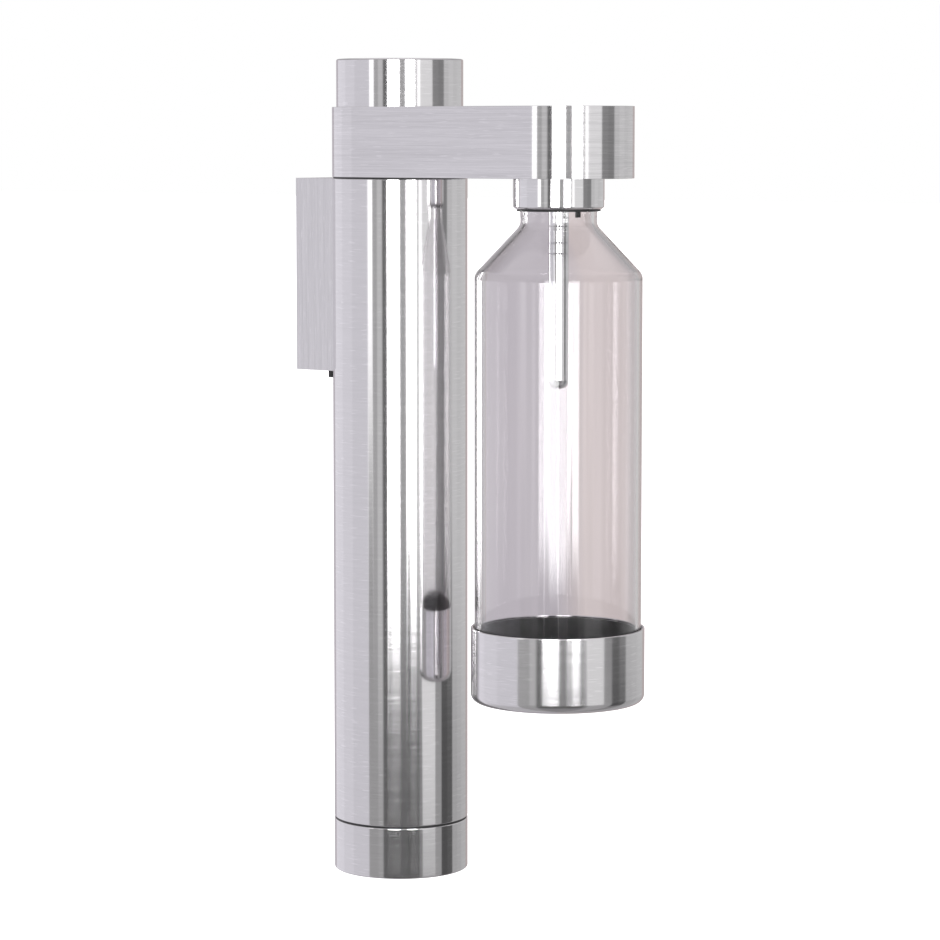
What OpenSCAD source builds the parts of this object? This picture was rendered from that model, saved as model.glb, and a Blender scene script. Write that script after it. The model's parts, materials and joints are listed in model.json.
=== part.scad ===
// Wall-mounted sparkling water maker: a gas cylinder stands in a round column,
// a swinging arm on top of the column carries the press cap, the gas head and a
// hanging bottle. Lengths are in millimetres and angles in degrees.
// The origin is the centre of the bracket's wall face. +Y runs into the wall,
// +Z is up, and the arm points along -Y, square to the wall.

/* [Gas cylinder] */
// Outer diameter of the gas cylinder
cylinder_d = 60; // [54:1:64]
// Wall of the gas cylinder
cylinder_wall = 3.5; // [2.5:0.5:5]
// Radius of the cylinder's shoulder
shoulder_r = 22; // [18:1:24]
// Radius of the cylinder's bottom edge
foot_edge_r = 6; // [3:1:9]
// Outer diameter of the cylinder's neck
neck_ring_d = 29; // [28:0.5:31]
// Width across the flats of the valve's hexagon
valve_flats = 27; // [24:0.5:28]
// Diameter of the valve's threaded top
valve_thread_d = 21; // [18:0.5:23]

/* [Column] */
// Height of the column tube
column_len = 333.3; // [280:0.1:400]
// Wall of the column tube
column_wall = 1.5; // [1:0.1:2.2]
// Radial thickness of the rings that guide the cylinder
guide_wall = 3; // [2.6:0.1:4]
// Distance from the wall to the column's axis
wall_reach = 55; // [52:1:70]
// Height of the aluminium head in the top of the column
head_h = 12; // [9:1:18]

/* [Wall bracket] */
// Width of the bracket's cover
bracket_w = 36; // [34:1:44]
// Height of the bracket's cover
bracket_h = 100; // [90:1:140]
// Wall of the bracket's cover
cover_wall = 1.8; // [1.2:0.1:2.5]
// Thickness of the rubber pad between bracket and column
pad_thick = 3.5; // [2.5:0.1:4.5]
// How far the rubber pad shows below the cover
pad_below = 3.6; // [2:0.1:8]
// Width of the wall plate where it meets the wall
plate_w = 24; // [22:1:26]
// Thickness of the wall plate
plate_thick = 4; // [3.5:0.1:5]
// Distance between the two wall screws
wall_screw_spacing = 60; // [40:1:66]
// Diameter of the wall screw holes
wall_screw_hole_d = 5.5; // [4:0.1:6]

/* [Arm] */
// Height of the arm
arm_h = 35.8; // [35:0.1:48]
// Wall of the arm's shell
arm_wall = 1.5; // [1:0.1:2]
// Dark gap between the column and the arm
arm_gap = 0.8; // [0.6:0.1:1.5]
// Thickness of the arm's underside plate
underside_thick = 2; // [1.5:0.1:3]
// Distance from the column's axis to the bottle's axis
bottle_reach = 100; // [92:0.5:112]
// How far the centre of the arm's outer end lies beyond the bottle's axis
arm_over = 3.3; // [1:0.1:7]

/* [Press cap] */
// Height of the cap above the arm
cap_h = 24.5; // [20:0.5:32]
// Wall of the cap
cap_wall = 1.5; // [1:0.1:2.2]
// Radius of the cap's top edge
cap_edge_r = 1.2; // [0.6:0.1:3]
// How far the cap reaches into the arm
cap_skirt = 6; // [5:0.5:7]
// Travel of the cap when it is pressed
press_travel = 4; // [3:0.5:4.5]

/* [Collar and gas tube] */
// Outer diameter of the collar under the arm
collar_d = 45.8; // [45:0.1:50]
// Height of the collar below the arm
collar_h = 16.4; // [15:0.1:22]
// Height of the chamfer at the collar's lower edge
collar_chamfer_h = 2.1; // [1:0.1:2.4]
// Outer diameter of the gas tube
tube_d = 10.3; // [8:0.1:12]
// How far the gas tube's tip lies below the collar
tube_depth = 89.1; // [60:0.1:140]
// How far the gas tube's joint lies below the collar
stem_depth = 8.5; // [6:0.5:20]

/* [Bottle] */
// Outer diameter of the glass
glass_d = 84.3; // [72:0.1:96]
// Wall of the glass
glass_wall = 2.6; // [2:0.1:3.5]
// Outer diameter of the ring on the bottle's neck
neck_bead_d = 38.6; // [38:0.1:38.8]
// Diameter of the hole in the bottle's neck
neck_hole_d = 30; // [28:0.5:31]
// How far the neck ring shows below the collar
bead_below = 3.3; // [2:0.1:5]
// Angle of the shoulder from the vertical
shoulder_angle = 46; // [40:1:60]
// Distance from the collar to the bottom of the bottle's base cup
bottle_drop_h = 247.6; // [200:0.1:280]
// Gap between the glass and the base cup's wall
cup_side_gap = 0.75; // [0.3:0.05:1.5]
// Height of the base cup
cup_h = 37.9; // [25:0.1:60]
// Wall of the base cup
cup_wall = 1.1; // [0.8:0.1:1.6]

/* [Base cap] */
// Height of the base cap
base_h = 26.5; // [22:0.5:40]
// Wall of the base cap
base_wall = 1.5; // [1:0.1:1.8]
// Dark gap between the column and the base cap
seam_gap = 1; // [0.8:0.1:1.6]

/* [Hidden] */
$fn = 96;
// Degrees in a full turn
full_turn = 360;
// Steps of a rounded edge or shoulder in a turned profile
arc_steps = 6;
// Cutters run past the surface that they open by this much
overrun = 1;

// Clearances: fixed round fits, turning and sliding fits, faces that pass, soft parts
snug = 0.05;
running = 0.08;
face_gap = 0.05;
soft_gap = 0.3;
cap_gap = 0.3;
cap_ledge = 0.45;
thread_gap = 0.1;
slide_gap = 0.3;

// Column and the parts in its line
cylinder_r = cylinder_d / 2;
cylinder_gap = 0.4;
column_in_r = cylinder_r + cylinder_gap + guide_wall + snug + snug;
column_r = column_in_r + column_wall;
column_top = bracket_h / 2;
column_bottom = column_top - column_len;
head_bottom = column_top - head_h;
flange_inset = 0.5;

// Guide rings, as heights and shares of the column's length
guide_h = 10;
guide_chamfer = 1.2;
upper_guide_share = 0.32;
lower_guide_share = 0.86;

// Wall plate, core, lock bar and screws of the bracket
plate_flare = 2.5;
plate_margin = 6;
plate_h = bracket_h - 2 * cover_wall - 2 * plate_margin;
plate_gap = 0.15;
wall_face_gap = 0.3;
wall_screw_flare = 4.7;
wall_screw_head_d = wall_screw_hole_d + wall_screw_flare;
core_w = bracket_w - 2 * cover_wall - 2 * snug;
core_top = column_top - cover_wall - snug;
bar_w = 22;
bar_thick = 2;
bar_in = 1;
bar_out = 13;
core_bottom = -core_top + bar_thick;
lock_screw_y = 9;
lock_screw_r = 2;
lock_head_r = 3.6;
lock_screw_len = 12;
access_r = 4.2;
pad_w = core_w - 2 * soft_gap;
column_screw_r = 2.45;
column_screw_head_r = 4.75;
column_screw_head_h = 2.6;
column_screw_share = 0.44;
column_screw_spacing = column_screw_share * bracket_h;
column_screw_tip_gap = 2;
hex_key_r = 1.7;
hex_key_depth = 1.4;
hole_gap = 0.1;
pad_hole_gap = 0.6;

// Arm, with its parts stacked upwards from the underside
arm_r = column_r;
arm_len = bottle_reach + arm_over;
arm_bottom = column_top + arm_gap;
arm_top = arm_bottom + arm_h;
arm_ceiling = arm_top - arm_wall;
deck = arm_bottom + underside_thick;
flange_h = 5;
chassis_bottom = deck + flange_h;
chassis_thick = 4;
chassis_top = chassis_bottom + chassis_thick;
tower_h = 14.2;
tower_top = chassis_bottom + tower_h;
port_below = 5.5;
port_z = tower_top - port_below;

// Gas valve block, which is also the spigot that the arm turns on
spigot_r = 22;
block_flange_r = 30;
tower_r = 16;
valve_bore_r = 17;
bush_wall = 2;
head_bore_r = spigot_r + running + bush_wall + snug;
washer_thick = 1;
washer_r = 27;
circlip_thick = 1.5;
circlip_r = 25;
circlip_depth = 1.2;
circlip_angle = 300;
washer_top = head_bottom - face_gap - face_gap;
washer_bottom = washer_top - washer_thick;
circlip_top = washer_bottom - face_gap;
circlip_bottom = circlip_top - circlip_thick;
spigot_end = 2;
spigot_bottom = circlip_bottom - spigot_end;
gasket_thick = 1.5;
socket_lift = 0.2;
socket_top = chassis_bottom + socket_lift;
valve_top = socket_top - gasket_thick;
thread_len = 12;
thread_bottom = valve_top - thread_len;
valve_thread_r = valve_thread_d / 2;
rod_r = 2.5;
gas_chamber_r = 3.6;
seal_h = 3;
chamber_top = tower_top - seal_h;
seal_r = 5;
port_r = 1.5;
fitting_r = 4;
fitting_thread_r = 2.6;
fitting_depth = 6;
hose_inset = 1;
hose_r = fitting_r - hose_inset;
relief_r = 4.4;
relief_out = 25;

// Swing stop: a pin in an arc groove
stop_pin_r = 2;
stop_track_r = 29;
stop_groove_gap = 0.4;
stop_groove_depth = 4;
stop_pin_end = 0.6;
swing_limit = 90;
stop_half_angle = swing_limit + asin((stop_pin_r + hole_gap) / stop_track_r);

// Screws that hold the arm together
chassis_screw_r = 1.95;
chassis_screw_head_r = 3.4;
chassis_screw_head_h = 2.6;
chassis_screw_len = 7;
hub_screw_circle_r = 24.5;
nozzle_screw_circle_r = 17.5;
chassis_screw_count = 4;
bar_half_w = 28;
window_half_w = 18;
window_share = 0.42;
post_r = 3.4;
post_x = 24;
post_near = 38;
post_far = 66;
small_screw_r = 1.4;
small_head_r = 2.8;
small_screw_len = 8;

// Nozzle head, over the bottle's axis
nozzle_flange_r = 26;
nozzle_boss_r = 11;
collar_r = collar_d / 2;
collar_lip_edge = 0.55;
collar_lip_h = 2.5;
collar_bottom = arm_bottom - collar_h;
collar_wall = 1.2;
collar_in_r = collar_r - collar_wall;
neck_bead_r = neck_bead_d / 2;
lip_gap = 0.45;
lip_in_r = neck_bead_r + lip_gap;
nozzle_spigot_h = 2.9;
nozzle_face = deck - nozzle_spigot_h;
seal_thick = 2.2;
seal_bottom = nozzle_face - seal_thick;
neck_top = seal_bottom - soft_gap;
tube_r = tube_d / 2;
stem_bore_r = 1.6;
stem_joint = collar_bottom - stem_depth;
stem_socket_r = 3.9;
stem_socket_h = 6;
tube_bore_r = 3.2;
tip_z = collar_bottom - tube_depth;
jet_r = 0.7;
check_valve_r = 2.6;
check_valve_h = 8;
vent_r = 1.3;
vent_reach = 12.4;
vent_below = 2.7;
vent_bore_r = 0.5;
vent_angle = -97;

// Bayonet bush round the bottle's neck
lug_count = 3;
lug_angle = 34;
channel_angle = 44;
lug_h = 4;
lug_below_top = 4;
neck_r = 18.2;
channel_r = neck_bead_r + slide_gap;
bush_in_r = neck_r + slide_gap;
bush_out_r = collar_in_r - running;
bush_low = collar_bottom + collar_lip_h + face_gap;
bush_high = nozzle_face - face_gap;
channel_roof = 1.4;

// Bottle glass, base cup and cushion
glass_r = glass_d / 2;
neck_hole_r = neck_hole_d / 2;
bead_bottom = collar_bottom - bead_below;
bead_top = collar_bottom + collar_lip_h - slide_gap - slide_gap;
neck_waist = 0.9;
waist_r = neck_bead_r - neck_waist;
waist_len = 4.9;
cone_start = bead_bottom - waist_len;
cone_rise = (glass_r - waist_r) / tan(shoulder_angle);
cone_end = cone_start - cone_rise;
waist_blend_r = 7;
glass_blend_r = 5;
glass_foot_r = 9;
glass_floor = 5;
punt_r = 24;
punt_h = 2.4;
cup_r = glass_r + cup_side_gap + cup_wall;
cup_bottom = collar_bottom - bottle_drop_h;
cup_top = cup_bottom + cup_h;
cup_edge_r = 4.2;
cushion_thick = 2.5;
lining_sink = 1;
glass_bottom = cup_bottom + cup_wall + cushion_thick;

// Press cap and what moves with it
cap_r = arm_r - arm_wall - cap_ledge - cap_gap;
cap_top = arm_top + cap_h;
cap_under = cap_top - cap_wall;
cap_bottom = arm_top - cap_skirt;
carrier_thick = 5;
carrier_lip = 9;
carrier_bottom = cap_under - carrier_thick;
stem_r = 9;
stem_gap = 1;
guide_flange_h = 3;
guide_flange_r = tower_r;
guide_wall_r = 2.6;
guide_low = tower_top;
guide_high = carrier_bottom - press_travel - stem_gap;
carrier_stem_bottom = guide_low + guide_flange_h / 2 + press_travel + stem_gap;
rod_hold = 14;
rod_top = carrier_stem_bottom + rod_hold;
stop_ring_thick = 1.2;
stop_ring_r = cap_r + cap_gap + cap_gap;
spring_wire_r = 0.8;
spring_r = guide_flange_r - spring_wire_r - spring_wire_r;
spring_turns = 5.5;
spring_sides = 6;
spring_steps = 14;
guide_screw_r = 1.2;
guide_screw_circle_r = 13.6;
guide_screw_head_r = 1.7;
guide_screw_len = 6;
guide_screw_count = 3;
guide_screw_turn = 60;

// Base cap, lock ring and insert
base_r = column_r;
base_top = column_bottom - seam_gap;
base_bottom = base_top - base_h;
base_edge = 0.7;
lock_sleeve_h = 13;
lock_wall = 1.15;
lock_top = column_bottom + lock_sleeve_h;
lock_out_r = column_in_r - running;
lock_in_r = lock_out_r - lock_wall;
insert_collar_r = lock_in_r - slide_gap;
insert_in_r = cylinder_r + cylinder_gap;
insert_below = 3;
insert_top = lock_top - insert_below;
key_depth = 0.8;
key_w = 6;
key_above = 3;
key_low = column_bottom + key_above;
key_count = 3;
foot_ring_h = 8;
foot_ring_wall = 1.6;
cylinder_pad_thick = 4;

// Gas cylinder and its valve
cylinder_bottom = base_bottom + base_wall + cylinder_pad_thick;
cylinder_dish = 3;
dish_share = 0.55;
rim_share = 0.72;
hex_h = 14;
hex_turn = 30;
hex_bottom = thread_bottom - hex_h;
shaft_h = 8;
shaft_r = 12;
neck_ring_top = hex_bottom - shaft_h;
neck_ring_r = neck_ring_d / 2;
neck_ring_h = 6;
neck_ring_wall = 2.5;
neck_bore_r = neck_ring_r - neck_ring_wall;
plug_h = 18;
shoulder_top = neck_ring_top - neck_ring_h;
shoulder_z = shoulder_top - shoulder_r;
pin_r = 2.4;
pin_sink = 2.5;
pin_top = valve_top - pin_sink;
pin_mouth_r = 4;
pin_mouth_h = 6.5;
poppet_r = 5;
poppet_h = 4;
seat_depth = 17;
seat_z = valve_top - seat_depth;
valve_chamber_r = 6.6;
valve_chamber_h = 20;
valve_floor = seat_z - valve_chamber_h;
dip_r = 2;
pin_spring_wire_r = 0.6;
pin_spring_r = 4.6;
pin_spring_turns = 6;
burst_r = 3;
burst_out = 2;
rod_bottom = pin_top + hole_gap;

// Colours, as the photograph shows them
steel = [0.78, 0.77, 0.78];
polished = [0.86, 0.86, 0.87];
black = [0.06, 0.06, 0.06];
brass = [0.76, 0.62, 0.33];
aluminium = [0.80, 0.81, 0.82];
silicone = [0.85, 0.86, 0.88];
glass = [0.86, 0.88, 0.90, 0.4];
hose_blue = [0.20, 0.32, 0.55];

// Points of an arc about a centre, from one angle to another
function arc(centre, r, from, to, steps = arc_steps) =
    [for (i = [0 : steps]) centre + r * [cos(from + (to - from) * i / steps),
                                         sin(from + (to - from) * i / steps)]];

// Frames: the column's axis and the bottle's axis
module on_column() { translate([0, -wall_reach, 0]) children(); }
module on_bottle() { translate([0, -wall_reach - bottle_reach, 0]) children(); }

// A turned ring between two radii and two heights
module ring(inner, outer, low, high) {
    rotate_extrude() translate([inner, low]) square([outer - inner, high - low]);
}

// A round hole or pin along Z between two heights
module rod(r, low, high) {
    translate([0, 0, low]) cylinder(r = r, h = high - low);
}

// Copies spread evenly round the axis
module around(count, radius, turn = 0) {
    for (i = [0 : count - 1]) rotate([0, 0, turn + i * full_turn / count])
        translate([radius, 0, 0]) children();
}

// The arm's outline: two round ends joined by straight sides
module arm_outline(r) {
    union() {
        circle(r = r);
        translate([0, -arm_len]) circle(r = r);
        translate([-r, -arm_len]) square([2 * r, arm_len]);
    }
}

// A screw standing head up: its head's top at the given height
module cap_screw(r, head_r, head_h, shank_len, key_r, key_depth) {
    difference() {
        union() {
            rod(head_r, -head_h, 0);
            rod(r, -head_h - shank_len, -head_h);
        }
        translate([0, 0, -key_depth]) cylinder(r = key_r, h = key_depth + overrun, $fn = 6);
    }
}

// A countersunk screw standing head up
module flat_screw(r, head_r, shank_len, key_r, key_depth) {
    difference() {
        union() {
            translate([0, 0, r - head_r]) cylinder(r1 = r, r2 = head_r, h = head_r - r);
            rod(r, -shank_len, r - head_r);
        }
        translate([0, 0, -key_depth]) cylinder(r = key_r, h = key_depth + overrun, $fn = 6);
    }
}

// Points of one ring of a round wire that winds up about Z
function coil_centre(r, pitch, turn) = [r * cos(turn), r * sin(turn), pitch * turn / full_turn];
function coil_ring(r, wire, pitch, turn, sides) =
    [for (j = [0 : sides - 1]) let (a = full_turn * j / sides)
        coil_centre(r, pitch, turn)
            + wire * (cos(a) * [cos(turn), sin(turn), 0] + sin(a) * [0, 0, 1])];

// A coil spring as one unbroken tube between two heights
module coil(r, wire, low, high, turns, sides = spring_sides, steps = spring_steps) {
    pitch = (high - low - 2 * wire) / turns;
    rings = ceil(turns * steps);
    points = [for (i = [0 : rings])
        each coil_ring(r, wire, pitch, full_turn * turns * i / rings, sides)];
    sides_faces = [for (i = [0 : rings - 1]) for (j = [0 : sides - 1])
        let (k = (j + 1) % sides)
        each [[i * sides + j, i * sides + k, (i + 1) * sides + k],
              [i * sides + j, (i + 1) * sides + k, (i + 1) * sides + j]]];
    start = [for (j = [1 : sides - 2]) [0, j + 1, j]];
    end = [for (j = [1 : sides - 2]) rings * sides * [1, 1, 1] + [0, j, j + 1]];
    translate([0, 0, low + wire]) polyhedron(points, concat(start, sides_faces, end));
}

// Dovetail outline of the wall plate, grown by a clearance
module plate_outline(gap) {
    polygon([
        [-plate_w / 2 - gap, overrun], [-plate_w / 2 - gap, 0],
        [-plate_w / 2 - plate_flare - gap, -plate_thick - gap],
        [plate_w / 2 + plate_flare + gap, -plate_thick - gap],
        [plate_w / 2 + gap, 0], [plate_w / 2 + gap, overrun]
    ]);
}

// Plate that is screwed to the wall; the bracket slides down over its flared edges
module wall_plate() {
    color(aluminium) difference() {
        intersection() {
            translate([0, 0, -plate_h / 2]) linear_extrude(plate_h) plate_outline(0);
            translate([-bracket_w, -plate_thick, -bracket_h])
                cube([2 * bracket_w, plate_thick, 2 * bracket_h]);
        }
        for (side = [-1, 1]) translate([0, 0, side * wall_screw_spacing / 2]) rotate([90, 0, 0]) {
            rod(wall_screw_hole_d / 2, -overrun, plate_thick + overrun);
            translate([0, 0, plate_thick - (wall_screw_head_d - wall_screw_hole_d) / 2])
                cylinder(d1 = wall_screw_hole_d, d2 = wall_screw_head_d,
                    h = (wall_screw_head_d - wall_screw_hole_d) / 2);
        }
    }
}

// Holes for the screws that hold the column to the bracket, about the column's axis
module column_screw_holes(r) {
    for (side = [-1, 1]) translate([0, 0, side * column_screw_spacing / 2]) rotate([-90, 0, 0])
        rod(r, cylinder_r, wall_reach - plate_thick - column_screw_tip_gap / 2);
}

// Solid core of the bracket, grooved for the wall plate and hollowed for the column
module bracket_core() {
    color(aluminium) difference() {
        translate([-core_w / 2, -wall_reach, core_bottom])
            cube([core_w, wall_reach - wall_face_gap, core_top - core_bottom]);
        on_column() rod(column_r + pad_thick + snug, core_bottom - overrun, core_top + overrun);
        translate([0, 0, core_bottom - overrun])
            linear_extrude(plate_h / 2 + plate_gap - core_bottom + overrun) plate_outline(plate_gap);
        on_column() column_screw_holes(column_screw_r + hole_gap);
        translate([0, -lock_screw_y, 0])
            rod(lock_screw_r + hole_gap, core_bottom - overrun, core_bottom + lock_screw_len);
    }
}

// Pressed steel cover of the bracket, open to the wall and to the column
module bracket_cover() {
    color(steel) difference() {
        translate([-bracket_w / 2, -wall_reach, -bracket_h / 2])
            cube([bracket_w, wall_reach - wall_face_gap, bracket_h]);
        translate([cover_wall - bracket_w / 2, -wall_reach - overrun, cover_wall - bracket_h / 2])
            cube([bracket_w - 2 * cover_wall, wall_reach + 2 * overrun, bracket_h - 2 * cover_wall]);
        on_column() rod(column_r + hole_gap, -bracket_h, bracket_h);
        intersection() {
            on_column() rod(column_r + pad_thick + hole_gap, -bracket_h, 0);
            translate([-pad_w / 2 - hole_gap, -wall_reach, -bracket_h])
                cube([pad_w + 2 * hole_gap, wall_reach, bracket_h]);
        }
        translate([0, -lock_screw_y, 0]) rod(access_r, -bracket_h, 0);
    }
}

// Rubber saddle between the bracket and the column
module saddle_pad() {
    color(black) difference() {
        intersection() {
            on_column() ring(column_r + snug, column_r + pad_thick - snug,
                -bracket_h / 2 - pad_below, core_top - soft_gap);
            translate([-pad_w / 2, -wall_reach, -bracket_h]) cube([pad_w, wall_reach, 2 * bracket_h]);
        }
        on_column() column_screw_holes(column_screw_r + pad_hole_gap);
    }
}

// Bar across the groove's mouth; it keeps the bracket from lifting off the wall plate
module lock_bar() {
    color(steel) difference() {
        translate([-bar_w / 2, -bar_out, core_bottom - bar_thick])
            cube([bar_w, bar_out - bar_in, bar_thick]);
        translate([0, -lock_screw_y, core_bottom - bar_thick]) rotate([180, 0, 0]) {
            rod(lock_screw_r + hole_gap, -lock_screw_len, overrun);
            translate([0, 0, lock_screw_r - lock_head_r])
                cylinder(r1 = lock_screw_r + hole_gap, r2 = lock_head_r + hole_gap,
                    h = lock_head_r - lock_screw_r);
        }
    }
}

// Screw of the lock bar, put in from below
module lock_screw() {
    color(steel) translate([0, -lock_screw_y, core_bottom - bar_thick]) rotate([180, 0, 0])
        flat_screw(lock_screw_r, lock_head_r, lock_screw_len, lock_screw_r / 2, lock_screw_r / 2);
}

// Brushed tube that holds the gas cylinder
module column_tube() {
    color(steel) on_column() difference() {
        ring(column_in_r, column_r, column_bottom, column_top);
        column_screw_holes(column_screw_r + hole_gap);
    }
}

// Two screws from inside the tube through wall and pad into the bracket's core
module column_screws() {
    seat = sqrt(column_in_r * column_in_r - column_screw_head_r * column_screw_head_r);
    reach = wall_reach - plate_thick - column_screw_tip_gap;
    color(steel) on_column() for (side = [-1, 1])
        translate([0, 0, side * column_screw_spacing / 2]) rotate([-90, 0, 0])
            translate([0, 0, seat]) mirror([0, 0, 1]) translate([0, 0, column_screw_head_h])
                cap_screw(column_screw_r, column_screw_head_r, column_screw_head_h,
                    reach - seat, hex_key_r, hex_key_depth);
}

// Ring that centres the cylinder, with a lead-in below
module guide_ring(low) {
    out = column_in_r - snug;
    inner = cylinder_r + cylinder_gap;
    color(black) on_column() rotate_extrude() polygon([
        [inner + guide_chamfer, low], [out, low], [out, low + guide_h],
        [inner, low + guide_h], [inner, low + guide_chamfer]
    ]);
}
module upper_guide_ring() { guide_ring(column_top - upper_guide_share * column_len); }
module lower_guide_ring() { guide_ring(column_top - lower_guide_share * column_len); }

// Ring bonded in the foot of the tube, over the lock ring's sleeve
module foot_ring() {
    color(aluminium) on_column() ring(column_in_r - snug - foot_ring_wall, column_in_r - snug,
        lock_top + hole_gap, lock_top + foot_ring_h);
}

// Arc groove in which the swing stop pin travels, from the given height up
module stop_groove(low, high) {
    rotate([0, 0, -90 - stop_half_angle]) rotate_extrude(angle = 2 * stop_half_angle)
        translate([stop_track_r - stop_pin_r - stop_groove_gap, low])
            square([2 * (stop_pin_r + stop_groove_gap), high - low]);
}

// Head bonded in the top of the tube, in which the arm turns
module column_head() {
    color(aluminium) on_column() difference() {
        ring(head_bore_r, column_in_r - snug, head_bottom, column_top);
        stop_groove(column_top - stop_groove_depth, column_top + overrun);
    }
}

// Black flanged bush: its rim is the dark line between column and arm
module swivel_bush() {
    color(black) on_column() difference() {
        union() {
            ring(spigot_r + running, head_bore_r - snug, head_bottom, column_top);
            ring(spigot_r + running, column_r - flange_inset, column_top, arm_bottom - face_gap);
        }
        stop_groove(column_top - overrun, arm_bottom + overrun);
    }
}

// Brushed shell of the arm, open below and with a round hole for the press cap
module arm_shell() {
    color(steel) on_column() difference() {
        translate([0, 0, arm_bottom]) linear_extrude(arm_h) arm_outline(arm_r);
        translate([0, 0, arm_bottom - overrun])
            linear_extrude(arm_h - arm_wall + overrun) arm_outline(arm_r - arm_wall);
        rod(cap_r + cap_gap, arm_ceiling - overrun, arm_top + overrun);
    }
}

// Where the four screws of the underside plate go
module at_posts() {
    for (x = [-post_x, post_x], y = [-post_near, -post_far]) translate([x, y, 0]) children();
}

// Plate that closes the arm from below
module arm_underside() {
    color(steel) on_column() difference() {
        translate([0, 0, arm_bottom]) linear_extrude(underside_thick) arm_outline(arm_r - arm_wall - snug);
        rod(spigot_r + snug, arm_bottom - overrun, deck + overrun);
        translate([0, -bottle_reach, 0]) rod(collar_r + snug, arm_bottom - overrun, deck + overrun);
        translate([0, -stop_track_r, 0]) rod(stop_pin_r + snug, arm_bottom - overrun, deck + overrun);
        at_posts() {
            rod(small_screw_r + hole_gap, arm_bottom - overrun, deck + overrun);
            translate([0, 0, arm_bottom - snug])
                cylinder(r1 = small_head_r + hole_gap, r2 = small_screw_r + hole_gap,
                    h = small_head_r - small_screw_r);
        }
    }
}

// Four countersunk screws in the arm's underside
module underside_screws() {
    color(steel) on_column() at_posts() translate([0, 0, arm_bottom]) rotate([180, 0, 0])
        flat_screw(small_screw_r, small_head_r, small_screw_len, small_screw_r / 2, small_screw_r / 2);
}

// Where the chassis screws go, on the hub and on the nozzle head
module at_chassis_screws() {
    around(chassis_screw_count, hub_screw_circle_r, 180 / chassis_screw_count) children();
    translate([0, -bottle_reach, 0])
        around(chassis_screw_count, nozzle_screw_circle_r, 180 / chassis_screw_count) children();
}

// Cast bar inside the arm that ties the valve block to the nozzle head
module arm_chassis() {
    window_len = window_share * (post_far - post_near);
    color(aluminium) on_column() difference() {
        union() {
            translate([0, 0, chassis_bottom]) linear_extrude(chassis_thick) difference() {
                union() {
                    circle(r = block_flange_r);
                    translate([0, -bottle_reach]) circle(r = nozzle_flange_r);
                    translate([-bar_half_w, -post_far - post_r]) square([2 * bar_half_w, post_far]);
                    translate([-nozzle_boss_r, -bottle_reach]) square([2 * nozzle_boss_r, bottle_reach]);
                }
                circle(r = tower_r + snug);
                translate([0, -bottle_reach]) circle(r = nozzle_boss_r + snug);
                for (side = [-1, 1]) translate([side * window_half_w / 2, -(post_near + post_far) / 2])
                    square([window_len, post_far - post_near], center = true);
            }
            at_posts() rod(post_r, deck, chassis_bottom + snug);
        }
        at_posts() rod(small_screw_r + hole_gap, deck - overrun, arm_bottom + small_screw_len + overrun);
        at_chassis_screws() rod(chassis_screw_r + hole_gap, chassis_bottom - overrun, chassis_top + overrun);
    }
}

// Screws that hold the chassis down on the valve block and the nozzle head
module chassis_screws() {
    color(steel) on_column() at_chassis_screws() translate([0, 0, chassis_top + chassis_screw_head_h])
        cap_screw(chassis_screw_r, chassis_screw_head_r, chassis_screw_head_h,
            chassis_screw_len, hex_key_r, hex_key_depth);
}

// A pin or bore that leaves the axis sideways at the port's height
module sideways(angle, r, from, to) {
    translate([0, 0, port_z]) rotate([0, 0, angle]) rotate([0, 90, 0]) rod(r, from, to);
}

// Brass block: spigot below, threaded socket for the cylinder, gas chamber above
module valve_block() {
    color(brass) on_column() difference() {
        union() {
            rod(spigot_r, spigot_bottom, deck);
            rod(block_flange_r, deck, chassis_bottom);
            rod(tower_r, chassis_bottom - snug, tower_top);
        }
        rod(valve_bore_r, spigot_bottom - overrun, thread_bottom);
        rod(valve_thread_r + thread_gap, thread_bottom - overrun, socket_top);
        rod(gas_chamber_r, socket_top - overrun, chamber_top);
        rod(seal_r, chamber_top - snug, tower_top + overrun);
        ring(spigot_r - circlip_depth, spigot_r + overrun, circlip_bottom - face_gap, washer_bottom);
        sideways(-90, port_r, 0, tower_r);
        sideways(-90, fitting_thread_r + snug, tower_r - fitting_depth, tower_r + overrun);
        sideways(0, port_r, 0, tower_r);
        sideways(0, relief_r / 2 + snug, tower_r - fitting_depth, tower_r + overrun);
        around(chassis_screw_count, hub_screw_circle_r, 180 / chassis_screw_count)
            rod(chassis_screw_r + hole_gap, chassis_top - chassis_screw_len - overrun,
                chassis_bottom + overrun);
        around(guide_screw_count, guide_screw_circle_r, guide_screw_turn)
            rod(guide_screw_r + hole_gap, tower_top - guide_screw_len, tower_top + overrun);
    }
}

// Gasket that the cylinder's valve is screwed against
module valve_gasket() {
    color(black) on_column() ring(pin_mouth_r, valve_thread_r - soft_gap, valve_top, socket_top);
}

// Seal round the push rod, held down by the cap guide
module rod_seal() {
    color(black) on_column() ring(rod_r + running, seal_r - snug, chamber_top, tower_top);
}

// Spring-loaded relief valve screwed into the side of the block
module relief_valve() {
    color(brass) on_column() difference() {
        union() {
            sideways(0, relief_r / 2, tower_r - fitting_depth, tower_r + overrun);
            sideways(0, relief_r, tower_r, relief_out);
        }
        sideways(0, port_r, tower_r - fitting_depth - overrun, relief_out + overrun);
    }
}

// Washer between the column head and the circlip
module thrust_washer() {
    color(black) on_column() ring(spigot_r + snug, washer_r, washer_bottom, washer_top);
}

// Split ring that keeps the arm on the column
module arm_circlip() {
    color(steel) on_column() rotate_extrude(angle = circlip_angle)
        translate([spigot_r - circlip_depth + snug, circlip_bottom])
            square([circlip_r - spigot_r + circlip_depth - snug, circlip_thick]);
}

// Pin in the arm that runs in the column head's groove and limits the swing
module swing_stop_pin() {
    color(steel) on_column() translate([0, -stop_track_r, 0])
        rod(stop_pin_r, column_top - stop_groove_depth + stop_pin_end, deck);
}

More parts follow.
